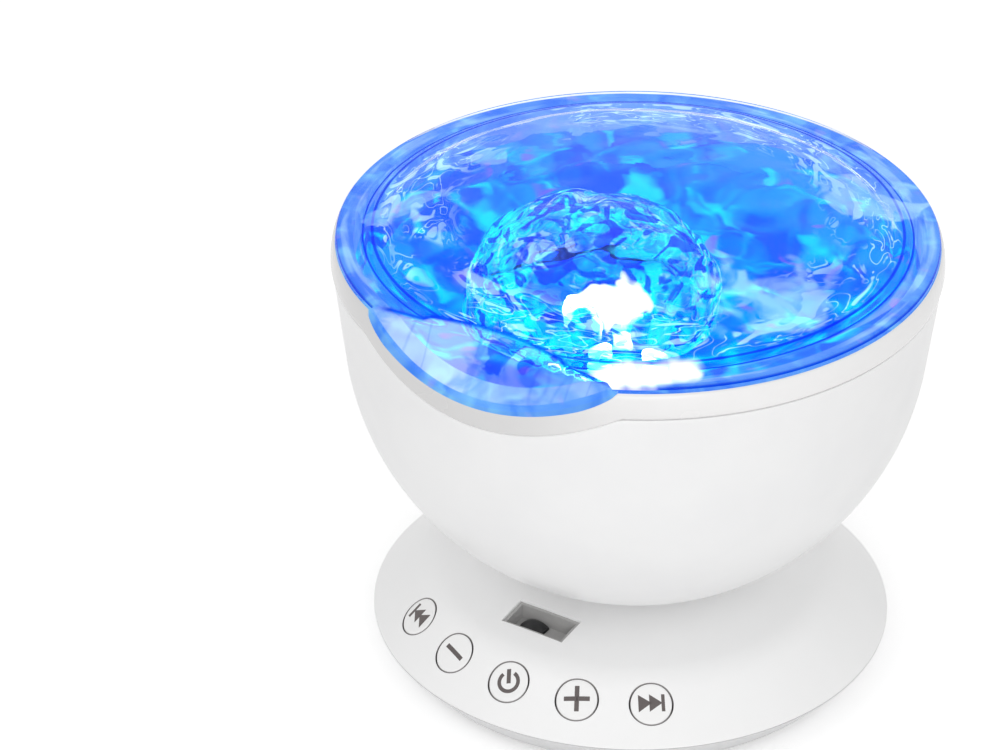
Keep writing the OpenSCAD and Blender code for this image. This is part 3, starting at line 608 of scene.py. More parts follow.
def cover_face():
    """The cover's upper face: painted shade as dark lines along step, edge and fold, and painted glints round
    crown and border.
    """
    material, w, shader, haze = clear("cover_face", COVER_TINT, COVER_IOR)
    spot = w.place()
    parts = w.parts(spot)
    x, y = parts["X"], parts["Y"]
    r = w.maths("SQRT", w.maths("ADD", w.maths("MULTIPLY", x, x), w.maths("MULTIPLY", y, y)))

    def round_place(radial):
        """Coordinates that follow a round of 50 mm radius and stretch the radius."""
        node = w.node("ShaderNodeCombineXYZ")
        w.put(node.inputs[0], w.maths("MULTIPLY", w.maths("DIVIDE", x, r), 0.05))
        w.put(node.inputs[1], w.maths("MULTIPLY", w.maths("DIVIDE", y, r), 0.05))
        w.put(node.inputs[2], w.maths("MULTIPLY", r, radial))
        return node.outputs[0]

    def ring(middle, half):
        """1 on a circle and 0 beyond half a line's width from it."""
        return w.span(w.maths("ABSOLUTE", w.maths("SUBTRACT", r, middle)), half, half * 0.4)

    fold = w.node("ShaderNodeAttribute", attribute_name="fold").outputs["Fac"]
    # Painted shade: dark blue lines where the glass darkens at its step, outer edge and fold.
    lines = w.maths("MAXIMUM", w.maths("MAXIMUM", ring(0.05725, 0.0005), ring(0.0593, 0.0003)), fold)
    lines = w.maths("MAXIMUM", lines, w.span(r, 0.0647, 0.0651))
    w.put(shader.inputs["Base Color"], w.mix(lines, (*COVER_TINT, 1.0), PAINTED_SHADE_BLUE))

    glints = w.use(GLINTS, Place=round_place(2.6), Scale=80.0, More=0.08)["Mask"]
    crown = w.maths("MULTIPLY", w.span(r, 0.036, 0.047), w.span(r, 0.0572, 0.0555))
    crown = w.maths("MULTIPLY", crown, glints)
    border = w.maths("MULTIPLY", w.span(r, 0.0594, 0.0602), w.span(r, 0.0646, 0.0638))
    streak = w.span(w.noise(round_place(7.0), 60.0, 2.0, 0.5, 0.5), 0.48, 0.66, 0.05, 0.42)
    border = w.maths("MULTIPLY", border, streak)
    glow = w.maths("MAXIMUM", crown, border)
    ragged = w.maths("MULTIPLY_ADD", w.noise(spot, 95.0, 2.0, 0.5, 0.5), 0.04, -0.02)
    cloud = w.span(w.noise(spot, 150.0, 2.0, 0.5, 0.6), 0.35, 0.6, 0.55, 1.0)
    for place, reach, share in POOLS:
        pool = w.maths("MULTIPLY", w.near(spot, place, reach, ragged, 0.6), share)
        glow = w.maths("MAXIMUM", glow, w.maths("MULTIPLY", pool, cloud))
    colour = w.mix(glow, haze, (0.4, 0.55, 0.9, 1.0))
    torn = w.maths("MULTIPLY_ADD", w.noise(spot, 160.0, 1.0, 0.5, 0.3), 0.006, -0.003)
    white = 0.0
    for place in np.linspace(GLARE_FROM, GLARE_TO, GLARE_COUNT).tolist():
        white = w.maths("MAXIMUM", white, w.near(spot, place, GLARE_R, torn, 0.5))
    w.put(shader.inputs["Emission Color"], w.mix(white, colour, (1.1, 1.1, 1.1, 1.0)))
    return material


def lip_face():
    """The lip's facet: a painted pale bank of light at its left, with strokes and a patch of painted shade
    across it, over the ripples below.
    """
    material, w, shader, haze = clear("lip_face", COVER_TINT, COVER_IOR)
    spot = w.place()
    wander = w.noise(w.place(0.7, (1.0, 2.2, 1.0)), 90.0, 2.0, 0.5, 1.0)
    ragged = w.maths("MULTIPLY_ADD", wander, 0.02, -0.01)
    bank = w.maths("MULTIPLY", w.near(spot, BANK_SPOT, 0.0155, ragged, 0.6), 0.68)
    bank = w.maths("MAXIMUM", bank, w.span(wander, 0.4, 0.65, 0.1, 0.36))
    # Painted shade: dark strokes, a dark patch and the fold line darken the facet's tint.
    comb = w.noise(w.place(0.75, (1.6, 0.5, 0.5)), 60.0, 1.0, 0.5, 0.5)
    strokes = w.span(w.maths("ABSOLUTE", w.maths("SUBTRACT", comb, 0.52)), 0.03, 0.004, 0.0, 0.22)
    dark = w.near(spot, PAINTED_SHADE_SPOT, 0.005, ragged)
    fold = w.node("ShaderNodeAttribute", attribute_name="fold").outputs["Fac"]
    lines = w.maths("MAXIMUM", w.maths("MAXIMUM", w.maths("MULTIPLY", dark, 0.75), strokes), fold)
    w.put(shader.inputs["Base Color"], w.mix(lines, (*COVER_TINT, 1.0), PAINTED_SHADE_BLUE))
    bank = w.maths("MULTIPLY", bank, w.maths("SUBTRACT", 1.0, lines))
    w.put(shader.inputs["Emission Color"], w.mix(bank, haze, (0.5, 0.47, 0.85, 1.0)))
    return material


def dome_face():
    """The dome: glass with painted deep and cyan ripples of light, painted pale glints, and a painted blaze
    where a lamp stands behind it.
    """
    material, w, shader, haze = clear("dome_face", DOME_TINT, DOME_IOR)
    spot = w.place()
    broad = w.noise(w.place(0.0, (1.0, 1.0, 1.6)), 75.0, 2.0, 0.5, 1.0)
    fine = w.noise(w.place(0.6, (1.0, 1.0, 2.3)), 115.0, 2.0, 0.5, 1.2)
    # Painted light and shade: cyan patches that glow, and deep blue patches and lines in the tint, stand for
    # the lamp's light seen through the ripples.
    bright = w.span(broad, 0.42, 0.55)
    deep = w.span(fine, 0.47, 0.42, 0.0, 0.97)
    line = w.span(w.maths("ABSOLUTE", w.maths("SUBTRACT", fine, 0.56)), 0.014, 0.004, 0.0, 0.6)
    deep = w.maths("MAXIMUM", deep, line)
    tint = w.mix(bright, (0.42, 0.7, 1.0, 1.0), (0.02, 0.86, 1.0, 1.0))
    w.put(shader.inputs["Base Color"], w.mix(deep, tint, (0.0, 0.04, 0.8, 1.0)))
    clear_share = w.maths("SUBTRACT", 1.0, deep)
    glow = w.mix(w.maths("MULTIPLY", bright, clear_share), haze, (0.0, 0.34, 0.44, 1.0))
    flat = w.place(0.0, (1.0, 1.0, 2.3))
    glints = w.maths("MULTIPLY", w.use(GLINTS, Place=flat, Scale=125.0, More=0.05, Lines=0.4)["Mask"], 0.65)
    glow = w.mix(w.maths("MULTIPLY", glints, clear_share), glow, (0.48, 0.6, 0.95, 1.0))
    ragged = w.maths("MULTIPLY_ADD", w.noise(spot, 210.0, 1.0, 0.5, 0.3), 0.008, -0.004)
    blaze = 0.0
    for place, reach, full in BLAZE:
        blaze = w.maths("MAXIMUM", blaze, w.near(spot, place, reach, ragged, full))
    w.put(shader.inputs["Emission Color"], w.mix(blaze, glow, (1.3, 1.3, 1.3, 1.0)))
    return material


cover_clear = clear("cover_clear", COVER_TINT, COVER_IOR)[0]
dome_clear = clear("dome_inside", DOME_TINT, DOME_IOR)[0]
dome_light = dome_face()
cover_light = cover_face()
lip_light = lip_face()


def lamp_white():
    """Lit lamps: white in two groups, cyan in the others, and blue down their sides."""
    material, w, shader = new_material("lamp_white")
    place = w.place()
    white = 0.0
    for spot, reach in WHITE_LAMPS:
        white = w.maths("MAXIMUM", white, w.near(place, spot, reach))
    colour = w.mix(white, (0.0, 0.09, 0.16, 1.0), (1.0, 1.0, 1.0, 1.0))
    colour = w.mix(w.span(w.parts(place)["Z"], 0.069, 0.0745), (0.0, 0.03, 0.1, 1.0), colour)
    w.put(shader.inputs["Base Color"], colour)
    w.put(shader.inputs["Emission Color"], colour)
    shader.inputs["Emission Strength"].default_value = 10.0
    return material


lamp = lamp_white()


# Shapes shared by the shells

def base_height(r):
    """Height of the base's top at a radius: a flat crown arc, a tight shoulder arc and a straight skirt."""
    crown = CROWN_Z + np.sqrt(CROWN_R ** 2 - np.square(r))
    bend = np.clip(r - SHOULDER_R, 0.0, SHOULDER * math.sin(SKIRT))
    shoulder = SHOULDER_Z + np.sqrt(SHOULDER ** 2 - np.square(bend))
    skirt = (r - SHOULDER_R - bend) * math.tan(SKIRT)
    return np.where(r < SHOULDER_R * CROWN_R / (CROWN_R - SHOULDER), crown, shoulder - skirt)


def skirt_radius(z, inset=0.0):
    """Radius of the base's skirt at a height."""
    foot = SHOULDER_Z + (SHOULDER - inset) * math.cos(SKIRT)
    return SHOULDER_R + (SHOULDER - inset) * math.sin(SKIRT) + (foot - z) / math.tan(SKIRT)


def under_radius(z, inset=0.0):
    """Radius of the base's side under its widest ring, which leans inwards to the underside."""
    return BASE_R - (SEAM_Z - BAND - z) * math.tan(UNDER) - inset / math.cos(UNDER)


def lean_radius(z, inset=0.0):
    """Radius of the bowl's wall, which leans out by the flare angle from its tangent to the ball."""
    r = BALL_R - inset
    return r * math.cos(FLARE) + (z - BALL_Z + r * math.sin(FLARE)) * math.tan(FLARE)


def lip_rise(r, angle):
    """How far the lip's facet lies over the rim plane: slope x (distance from the lip's axis - radius)."""
    return LIP_K * (np.hypot(r * np.cos(angle), r * np.sin(angle) + LIP_AXIS) - LIP_R)


def rim_height(r, angle, drop):
    """Rim plane or lip facet, whichever is lower, both lowered by a drop."""
    return RIM_Z - drop + np.minimum(0.0, lip_rise(r, angle))


def rim_meets(radius_at, angle, drop):
    """Height where a leaning wall reaches the rim, by a few rounds of substitution."""
    z = np.full_like(angle, RIM_Z - drop)
    for _ in range(8):
        z = rim_height(radius_at(z), angle, drop)
    return z


def arc(cx, cz, r, start, end, count):
    """Points on a circular arc in the (r, z) half plane, with angles in degrees."""
    a = np.radians(np.linspace(start, end, count))
    return np.column_stack([cx + r * np.cos(a), cz + r * np.sin(a)])


# Base

def base_top():
    """Upper base shell: rounded rim, skirt, shoulder, crown and seat well, and back inside by the wall."""
    meet = math.degrees(math.acos(SHOULDER_R / (CROWN_R - SHOULDER)))
    lean = 90.0 - math.degrees(SKIRT)
    seat_edge = SEAT_R + EDGE_R
    seat = math.degrees(math.acos(seat_edge / CROWN_R))
    well = math.degrees(math.acos(WELL_OUT_R / (CROWN_R - BASE_WALL)))
    well_low = WELL_Z - WELL_T
    top = float(base_height(seat_edge))
    seam = SEAM_Z + SEAM_HALF
    skirt = np.linspace(SEAM_Z + EDGE_R, SHOULDER_Z + SHOULDER * math.cos(SKIRT), 16)
    inside = np.linspace(SHOULDER_Z + (SHOULDER - BASE_WALL) * math.cos(SKIRT), seam, 8)[1:]
    profile = np.concatenate([
        [(BASE_R - SEAM_IN, seam)],
        arc(BASE_R - EDGE_R, SEAM_Z + TOP_EDGE_UP, EDGE_R, 8.0, lean, 7),
        np.column_stack([skirt_radius(skirt), skirt]),
        arc(SHOULDER_R, SHOULDER_Z, SHOULDER, lean, meet, 26)[1:],
        arc(0.0, CROWN_Z, CROWN_R, meet, seat, 40)[1:],
        arc(seat_edge, top - EDGE_R, EDGE_R, 80.0, 180.0, 8)[1:],
        [(SEAT_R, WELL_Z), (STUD_HOLE_R, WELL_Z), (STUD_HOLE_R, well_low), (WELL_OUT_R, well_low)],
        arc(0.0, CROWN_Z, CROWN_R - BASE_WALL, well, meet, 16),
        arc(SHOULDER_R, SHOULDER_Z, SHOULDER - BASE_WALL, meet, lean, 12)[1:],
        np.column_stack([skirt_radius(inside, BASE_WALL), inside]),
    ])
    piece = skin("base_top_shell", [(revolved(profile, FINE_TURN), True, True, 0)])
    x, y, width, depth = WINDOW
    cutters = [block("cut_window", x, y, width / 2, depth / 2, WINDOW_Z, OVER_BASE_Z)]
    hole = KEY_R + KEY_GAP
    section = ((0.0, KEY_HOLE_Z), (hole, KEY_HOLE_Z), (hole, OVER_BASE_Z), (0.0, OVER_BASE_Z))
    for key in range(len(KEY_NAMES)):
        rows = [key_ring(key, r, z) for r, z in section]
        cutters.append(skin("cut_key", [(np.array(rows), False, True, 0)]))
    carve(piece, cutters + port_cutters())
    paint_hole_shade(piece)
    finish_piece(piece, [base_white, painted_gap_shade], "base", "white_shell", "base_top")


def paint_hole_shade(piece):
    """Gives the upright walls of the key holes the second material, a grey of painted shade for the shadow
    that they lie in.
    """
    mesh = piece.data
    middle = np.empty(3 * len(mesh.polygons))
    normal = np.empty(3 * len(mesh.polygons))
    mesh.polygons.foreach_get("center", middle)
    mesh.polygons.foreach_get("normal", normal)
    middle = middle.reshape(-1, 3)[:, :2] * 1000.0
    upright = np.abs(normal.reshape(-1, 3)[:, 2]) < 0.05
    spots = np.column_stack([np.cos(KEY_ANGLES), np.sin(KEY_ANGLES)]) * KEY_RING_R
    apart = np.linalg.norm(middle[:, None, :] - spots[None, :, :], axis=-1).min(axis=1)
    in_hole = apart < KEY_R + KEY_GAP + 0.05
    mesh.polygons.foreach_set("material_index", (upright & in_hole).astype(np.int32))


def port_cutters():
    """Blocks for the power inlet and card slot and a level rod for the audio socket, out through the edge."""
    usb = block("cut_usb", *USB_CUT)
    card = block("cut_card", *CARD_CUT)
    grid = revolved([(0, AUX_FROM_Y), (AUX_R, AUX_FROM_Y), (AUX_R, AUX_TO_Y), (0, AUX_TO_Y)], 48)
    grid = np.stack([grid[..., 0] + AUX_X, grid[..., 2], grid[..., 1] + AUX_Z], axis=-1)
    return [usb, card, skin("cut_aux", [(grid, False, True, 0)])]


def base_bottom():
    """Lower base shell: leaning side and flat underside, back inside by the wall, less its holes."""
    lean = math.degrees(UNDER)
    floor = BASE_BOTTOM_Z + BASE_WALL
    edge_z = BASE_BOTTOM_Z + UNDER_EDGE_R
    round_r = under_radius(edge_z) - UNDER_EDGE_R / math.cos(UNDER)
    side = np.linspace(SEAM_Z - BAND - 0.15, edge_z + 0.1, 14)
    flat = np.linspace(round_r, 0.0, 12)[1:]
    back = np.linspace(0.0, under_radius(floor, BASE_WALL), 12)
    seam = SEAM_Z - SEAM_HALF
    inside = np.linspace(floor, seam, 10)[1:]
    profile = np.concatenate([
        [(BASE_R - SEAM_IN, seam)],
        arc(BASE_R - EDGE_R, SEAM_Z - UNDER_EDGE_DOWN, EDGE_R, -6.0, -lean, 7),
        np.column_stack([under_radius(side), side]),
        arc(round_r, edge_z, UNDER_EDGE_R, -lean, -90.0, 7),
        np.column_stack([flat, np.full(len(flat), BASE_BOTTOM_Z)]),
        np.column_stack([back, np.full(len(back), floor)]),
        np.column_stack([under_radius(inside, BASE_WALL), inside]),
    ])
    piece = skin("base_bottom_shell", [(revolved(profile, FINE_TURN), True, True, 0)])
    carve(piece, port_cutters() + under_cutters())
    finish_piece(piece, [under_white_painted_shade], "base", "white_shell", "base_bottom")


def under_cutters():
    """Rods for the feet's seats, the screws and the sound holes, with 6n of these in their n-th ring."""
    cutters = []
    holes = (("cut_foot", FOOT_HOLES, 64), ("cut_screw", SCREW_HOLES, 48))
    for name, (angles, ring_r, r, top), count in holes:
        for angle in np.radians(angles):
            cutters.append(rod(name, ring_r * math.cos(angle), ring_r * math.sin(angle), r, 0.0, top, count))
    for ring in range(SOUND_RINGS):
        for angle in turn_angles(max(1, 6 * ring)):
            x = SOUND_PITCH * ring * math.cos(angle)
            y = SOUND_PITCH * ring * math.sin(angle)
            cutters.append(rod("cut_sound", x, y, SOUND_R, 0.0, SOUND_TOP_Z, 24))
    return cutters


def on_key(key, across, up, lift):
    """Points over a key, from lengths across it and up its slope, lifted off its top."""
    angle, twist = KEY_ANGLES[key], KEY_TWIST[key]
    side = across * math.cos(twist) - up * math.sin(twist)
    out = KEY_RING_R - (across * math.sin(twist) + up * math.cos(twist)) * math.cos(SKIRT)
    x = out * math.cos(angle) - side * math.sin(angle)
    y = out * math.sin(angle) + side * math.cos(angle)
    return np.stack([x, y, base_height(np.hypot(x, y)) + KEY_PROUD + lift], axis=-1)


def key_ring(key, r, z):
    """A key's outline of a radius at one height: round on the slope, so shortened in plan."""
    angle = turn_angles(KEY_TURN)
    ring = on_key(key, r * np.cos(angle), r * np.sin(angle), 0.0)
    ring[:, 2] = z
    return ring


def key_cap(key):
    """Key cap: discs of growing radius on the slope, a rounded edge and a straight side to a flat foot."""
    name = KEY_NAMES[key]
    flat_r = KEY_R - KEY_EDGE_R
    a = np.radians(np.linspace(90.0, 0.0, 7))
    discs = np.linspace(0.0, flat_r, 12)[:-1]
    r = np.concatenate([discs, flat_r + KEY_EDGE_R * np.cos(a)])
    sink = np.concatenate([0.0 * discs, KEY_EDGE_R * (np.sin(a) - 1.0)])
    angle = turn_angles(KEY_TURN)[None, :]
    top = on_key(key, r[:, None] * np.cos(angle), r[:, None] * np.sin(angle), sink[:, None])
    foot = np.stack([top[-1], top[-1], top[0]])
    foot[1:, :, 2] = KEY_BOTTOM_Z
    # The side and foot take the grey of painted shade, for the shadow in the key's hole.
    piece = skin("key_cap_" + name, [(top, False, True, 0), (foot, False, True, 1)])
    finish_piece(piece, [key_white, painted_gap_shade], "key_" + name, "key_plastic", "button_" + name)


def ribbon(key, path, width):
    """A flat band of even width along a path on a key, given as (across, up) points."""
    path = np.asarray(path, float)
    along = np.gradient(path, axis=0)
    along /= np.linalg.norm(along, axis=1)[:, None]
    side = np.column_stack([-along[:, 1], along[:, 0]]) * width / 2
    rows = np.stack([path - side, path, path + side])
    return on_key(key, rows[..., 0], rows[..., 1], PRINT_LIFT), False, False, 0


def wedge(key, tip, base):
    """A filled arrow head: a line across its base that shrinks to its tip."""
    t = np.linspace(0.0, 1.0, 7)[:, None]
    s = np.linspace(-1.0, 1.0, 7)[None, :]
    across = base + (tip - base) * t + 0.0 * s
    return on_key(key, across, ARROW_HALF * s * (1.0 - t), PRINT_LIFT), False, False, 0


def stroke(key, start, end, width):
    """A straight band between two (across, up) points."""
    return ribbon(key, np.linspace(start, end, 9), width)


def key_print(key):
    """The printed sign on a key, as thin bands and arrow heads laid on its top."""
    name = KEY_NAMES[key]
    if name in ("previous", "next"):
        way = 1.0 if name == "next" else -1.0
        sheets = [
            wedge(key, way * 0.1, way * -2.8),
            wedge(key, way * 2.45, way * -0.4),
            stroke(key, (way * ARROW_BAR, -1.9), (way * ARROW_BAR, 1.9), 0.75),
        ]
    elif name == "power":
        sweep = np.radians(np.linspace(125.0, 415.0, 40))
        sheets = [
            ribbon(key, np.column_stack([POWER_R * np.cos(sweep), POWER_R * np.sin(sweep) - 0.2]), 0.86),
            stroke(key, (0.0, -0.6), (0.0, 2.7), 0.95),
        ]
    else:
        sheets = [stroke(key, (-SIGN_ARM, 0.0), (SIGN_ARM, 0.0), SIGN_STROKE)]
        if name == "plus":
            sheets.append(stroke(key, (0.0, -SIGN_ARM), (0.0, SIGN_ARM), SIGN_STROKE))
    piece = skin("key_print_" + name, sheets)
    finish_piece(piece, [print_grey], "key_" + name, "black_plastic")


# Head

def bowl():
    """Bowl: the ball up to its tangent, the leaning wall up to the rim less the ring, and back inside."""
    angle = turn_angles()
    heights = np.linspace(0.0, 1.0, 30)[:, None]
    turn = np.radians(np.linspace(15.0, 90.0, 6))[:, None]

    def wall(inset, soft):
        """The wall from its foot to its top, which rounds inwards by a soft edge."""
        foot = BALL_Z - (BALL_R - inset) * math.sin(FLARE)
        top = rim_meets(lambda z: lean_radius(z, inset), angle, FLANGE_T + RING_H)
        z = foot + (top - soft - foot)[None, :] * heights
        side = polar(lean_radius(z, inset), angle, z)
        z = top[None, :] - soft * (1.0 - np.sin(turn))
        r = lean_radius(z, inset) - soft * (1.0 - np.cos(turn))
        return np.concatenate([side, polar(r, angle, z)])

    def ball(inset):
        """The ball from its lowest point to just below the wall's foot."""
        profile = arc(0.0, BALL_Z, BALL_R - inset, -90.0, -math.degrees(FLARE), 70)
        return revolved(profile)[:-1]

    outer = np.concatenate([ball(0.0), wall(0.0, EDGE_R)])
    inner = np.concatenate([ball(BOWL_WALL), wall(BOWL_WALL, 0.0)])
    rim = np.stack([outer[-1], inner[-1]])
    piece = skin("bowl_skin", [(outer, False, True, 0), (inner, False, True, 1), (rim, False, True, 0)])
    carve(piece, [stud_slot()])
    finish_piece(piece, [white_shell, wall_light], "head", "white_shell", "bowl_shell")


def stud_slot():
    """Room for the stud in the bowl: a fan from the ball's middle, as wide as the stud swings."""
    swing = TILT + math.asin(SLOT_HALF / (BALL_R - BOWL_WALL))
    side, down = SLOT_REACH * math.sin(swing), -SLOT_REACH * math.cos(swing)
    fan = np.array([[0.0, 0.0], [-side, down], [side, down]])
    rows = []
    for share, x in ((0, -SLOT_HALF), (1, -SLOT_HALF), (1, SLOT_HALF), (0, SLOT_HALF)):
        outline = fan * share + (1 - share) * fan.mean(0) + [0.0, BALL_Z]
        rows.append(np.column_stack([np.full(len(fan), x), outline]))
    return skin("cut_slot", [(np.array(rows), False, True, 0)])


def ring_radius(z):
    """Outside of the rim ring: the leaning wall, stood proud, that rounds over to the cover's edge."""
    side_z = RIM_Z - FLANGE_T - RING_ROUND_H
    side_r = lean_radius(side_z) + RING_PROUD
    over = np.clip((z - side_z) / RING_ROUND_H, 0.0, 1.0)
    inward = (side_r - COVER_R - RING_COVER_GAP) * (1 - np.sqrt(1 - RING_TURN * over * over))
    return np.where(z < side_z, lean_radius(z) + RING_PROUD, side_r - inward)


def rim_ring():
    """Rim ring: at each angle, up the outside from an eased foot, in under the cover, and down its skirt."""
    angle = turn_angles(FINE_TURN)
    seat = FLANGE_T + RING_H
    low = rim_meets(ring_radius, angle, seat) + SEAM_GAP
    high = rim_meets(ring_radius, angle, FLANGE_T)
    z = low + (high - low) * np.linspace(0.0, 1.0, 28)[:, None]
    foot = np.exp(-np.square((z - low) / RING_FOOT_H)) * RING_FOOT_IN
    outside = polar(ring_radius(z) - foot, angle, z)
    r_top = ring_radius(high)
    r = r_top + (RING_IN_R - r_top) * np.linspace(0.0, 1.0, 8)[1:, None]
    over = polar(r, angle, rim_height(r, angle, FLANGE_T))
    skirt_r = np.array([RING_IN_R, RING_IN_R + RING_SKIRT_T, RING_IN_R + RING_SKIRT_T])[:, None]
    drops = np.array([seat + RING_SKIRT_H, seat + RING_SKIRT_H, seat])[:, None]
    skirt = polar(skirt_r, angle, rim_height(skirt_r, angle, drops))
    inside = np.concatenate([outside[-1:], over, skirt[:1]])
    under = np.concatenate([skirt, outside[:1]])
    # The underside and skirt take the grey of painted shade, so that the seam shows as a dark line of shadow.
    sheets = [(outside, False, True, 0), (inside, False, True, 1), (under, False, True, 2)]
    piece = skin("rim_band", sheets, 40.0)
    finish_piece(piece, [white_trim, ring_light, painted_gap_shade], "head", "white_trim", "rim_ring")


def swell(points, length, seed, count=28):
    """Rolling relief of unit spread: a sum of seeded sines, with wavelengths spread about a length."""
    draw = np.random.default_rng(seed)
    ways = draw.normal(size=(count, points.shape[-1]))
    ways /= np.linalg.norm(ways, axis=1)[:, None] * draw.uniform(0.7, 1.5, count)[:, None] * length
    waves = np.sin(2.0 * np.pi * (points @ ways.T) + draw.uniform(0.0, 6.28, count))
    return waves.sum(-1) / math.sqrt(count / 2)


def cover_top(r):
    """Upper profile of the cover: crown cap, step and flat border with a rounded edge."""
    cap = CAP_Z + np.sqrt(CAP_R ** 2 - np.square(np.minimum(r, CROWN_EDGE_R)))
    step = RIM_Z + STEP_H * (1.0 - smooth_step(CROWN_EDGE_R, CROWN_EDGE_R + STEP_W, r))
    edge = np.clip(r - (COVER_R - COVER_EDGE), 0.0, COVER_EDGE)
    sink = COVER_EDGE * (1.0 - np.sqrt(1.0 - np.square(edge / COVER_EDGE) * COVER_TURN))
    return np.where(r <= CROWN_EDGE_R, cap, step) - sink


def cover_under(r, angle):
    """Lower profile of the cover: the cap less its wall, with waves that die out at the border."""
    cap = CAP_Z + np.sqrt((CAP_R - COVER_WALL) ** 2 - np.square(np.minimum(r, UNDER_CAP_R)))
    border = smooth_step(WAVE_R, WAVE_END_R, r)
    wave = 0.08 * swell(polar(r, angle, 0.0), 10.0, 3)
    return (cap + wave) * (1.0 - border) + (RIM_Z - FLANGE_T) * border


def fold_radius(angle):
    """Radius where the lip's facet leaves the cover's top, by bisection along each ray."""
    low, high = np.full_like(angle, 20.0), np.full_like(angle, COVER_R)
    for _ in range(40):
        middle = (low + high) / 2
        over = RIM_Z + lip_rise(middle, angle) > cover_top(middle)
        low, high = np.where(over, middle, low), np.where(over, high, middle)
    return high


def clear_cover():
    """Cover: rings of its top that stop at the fold, the lip's facet beyond it, and the waved underside."""
    angle = turn_angles(FINE_TURN)
    fold = fold_radius(angle)
    rings = np.concatenate([
        np.linspace(0.0, WAVE_R, 46), np.linspace(WAVE_R + 0.8, CROWN_EDGE_R, 5),
        np.linspace(CROWN_EDGE_R, CROWN_EDGE_R + STEP_W, 7)[1:],
        np.linspace(CROWN_EDGE_R + STEP_W, COVER_R - COVER_EDGE, 6)[1:],
        COVER_R - COVER_EDGE + COVER_EDGE * np.sin(np.radians(np.linspace(0, 90, 7)))[1:],
    ])
    r = np.minimum(rings[:, None], fold)
    level = polar(r, angle, cover_top(r))
    flat = level * [1, 1, 0]
    calm = smooth_step(WAVE_END_R, 50.0, r) * smooth_step(0.0, 5.0, fold - r)
    level[..., 2] += calm * (0.07 * swell(flat, 15.0, 5) + 0.02 * swell(flat, 7.0, 6))
    # The fourth number marks the fold, where the cover's materials paint a dark line of shade.
    cut = smooth_step(COVER_R - 0.3, COVER_R - 2.5, fold)[None, :]
    level = np.dstack([level, cut * smooth_step(0.9, 0.3, fold - r)])
    spread = np.concatenate([[0.0, 0.01, 0.025, 0.045], np.linspace(0.09, 1.0, 14)])[:, None]
    r = fold + (COVER_R - fold) * spread
    facet = polar(r, angle, np.minimum(cover_top(r), RIM_Z + lip_rise(r, angle)))
    facet = np.dstack([facet, cut * smooth_step(0.9, 0.3, r - fold)])
    r = np.linspace(COVER_R, 0.0, 80)[:, None] + 0.0 * angle
    under = cover_under(r, angle)
    lip = RIM_Z - FLANGE_T + lip_rise(r, angle)
    lip += 0.25 * swell(polar(r, angle, 0.0), 9.0, 8) * smooth_step(COVER_R, COVER_R - 4.0, r)
    under = polar(r, angle, np.minimum(under, lip))
    edge = np.concatenate([facet[-1:, :, :3], under[:1]])
    sheets = [(level, False, True, 0), (facet, False, True, 1)]
    for grid in (edge, under):
        sheets.append((np.dstack([grid, 0.0 * grid[..., 0]]), False, True, 2))
    piece = skin("cover_glass", sheets, 25.0)
    finish_piece(piece, [cover_light, lip_light, cover_clear], "head", "clear_plastic", "clear_cover")


def ripple_dome():
    """Dome: a skirt under a cap of half an ellipse, its outside pushed in and out by crossing waves."""
    angle = turn_angles(240)[None, :]
    rise = np.radians(np.linspace(0.0, 90.0, 100))[:, None]

    def cap(r, h, deep):
        """The cap of radius r and height h, scaled from its middle by the waves."""
        x, y = r * np.cos(rise) * np.cos(angle), r * np.cos(rise) * np.sin(angle)
        z = h * np.sin(rise) + 0.0 * angle
        place = np.stack([x, y, z], axis=-1)
        waves = 0.25 * swell(place, 11.0, 1) + 0.15 * swell(place, 6.0, 2)
        scale = 1.0 + deep * smooth_step(0.0, 0.3, np.sin(rise)) * waves / r
        return np.stack([x * scale + DOME_X, y * scale, DOME_CAP_Z + z * scale], axis=-1)

    def skirt(r):
        """The ring at the skirt's foot."""
        return polar(r, angle, DOME_FOOT_Z) + [DOME_X, 0.0, 0.0]

    out_r, in_r = DOME_R - DOME_GAP, DOME_R - DOME_WALL
    outer = np.concatenate([skirt(out_r), cap(out_r, DOME_H, 1.0)])
    inner = np.concatenate([skirt(in_r), cap(in_r, DOME_H - DOME_WALL, 0.0)])
    foot = np.concatenate([outer[:1], inner[:1]])
    sheets = [(outer, False, True, 0), (inner, False, True, 1), (foot, False, True, 1)]
    piece = skin("wave_dome", sheets, 60.0)
    finish_piece(piece, [dome_light, dome_clear], "dome_rotor", "clear_plastic", "ripple_dome")


def dish_height(r):
    """Height of the tray's dish: flat in the middle, a smooth slope, and a level border on the ledge."""
    return DISH_Z + (LEDGE_Z + TRAY_T - DISH_Z) * smooth_step(DISH_FLAT_R, DISH_EDGE_R, r)


def light_tray():
    """Tray: straight lines from its off-centre hole to its round edge, dished by radius, then thickened."""
    angle = turn_angles(300)[None, :]
    t = np.linspace(0.0, 1.0, 60)[:, None]
    x = (1 - t) * (DOME_X + TRAY_HOLE_R * np.cos(angle)) + t * TRAY_R * np.cos(angle)
    y = (1 - t) * TRAY_HOLE_R * np.sin(angle) + t * TRAY_R * np.sin(angle)
    z = dish_height(np.hypot(x, y))
    top = np.stack([x, y, z], axis=-1)
    low = np.stack([x, y, z - TRAY_T], axis=-1)
    piece = skin("light_dish", [(np.concatenate([top, low[::-1], top[:1]]), False, True, 0)])
    finish_piece(piece, [tray_light], "head", "reflector", "light_tray")


base_top()
base_bottom()
for number in range(len(KEY_NAMES)):
    key_cap(number)
    key_print(number)
bowl()
rim_ring()
clear_cover()
ripple_dome()
light_tray()

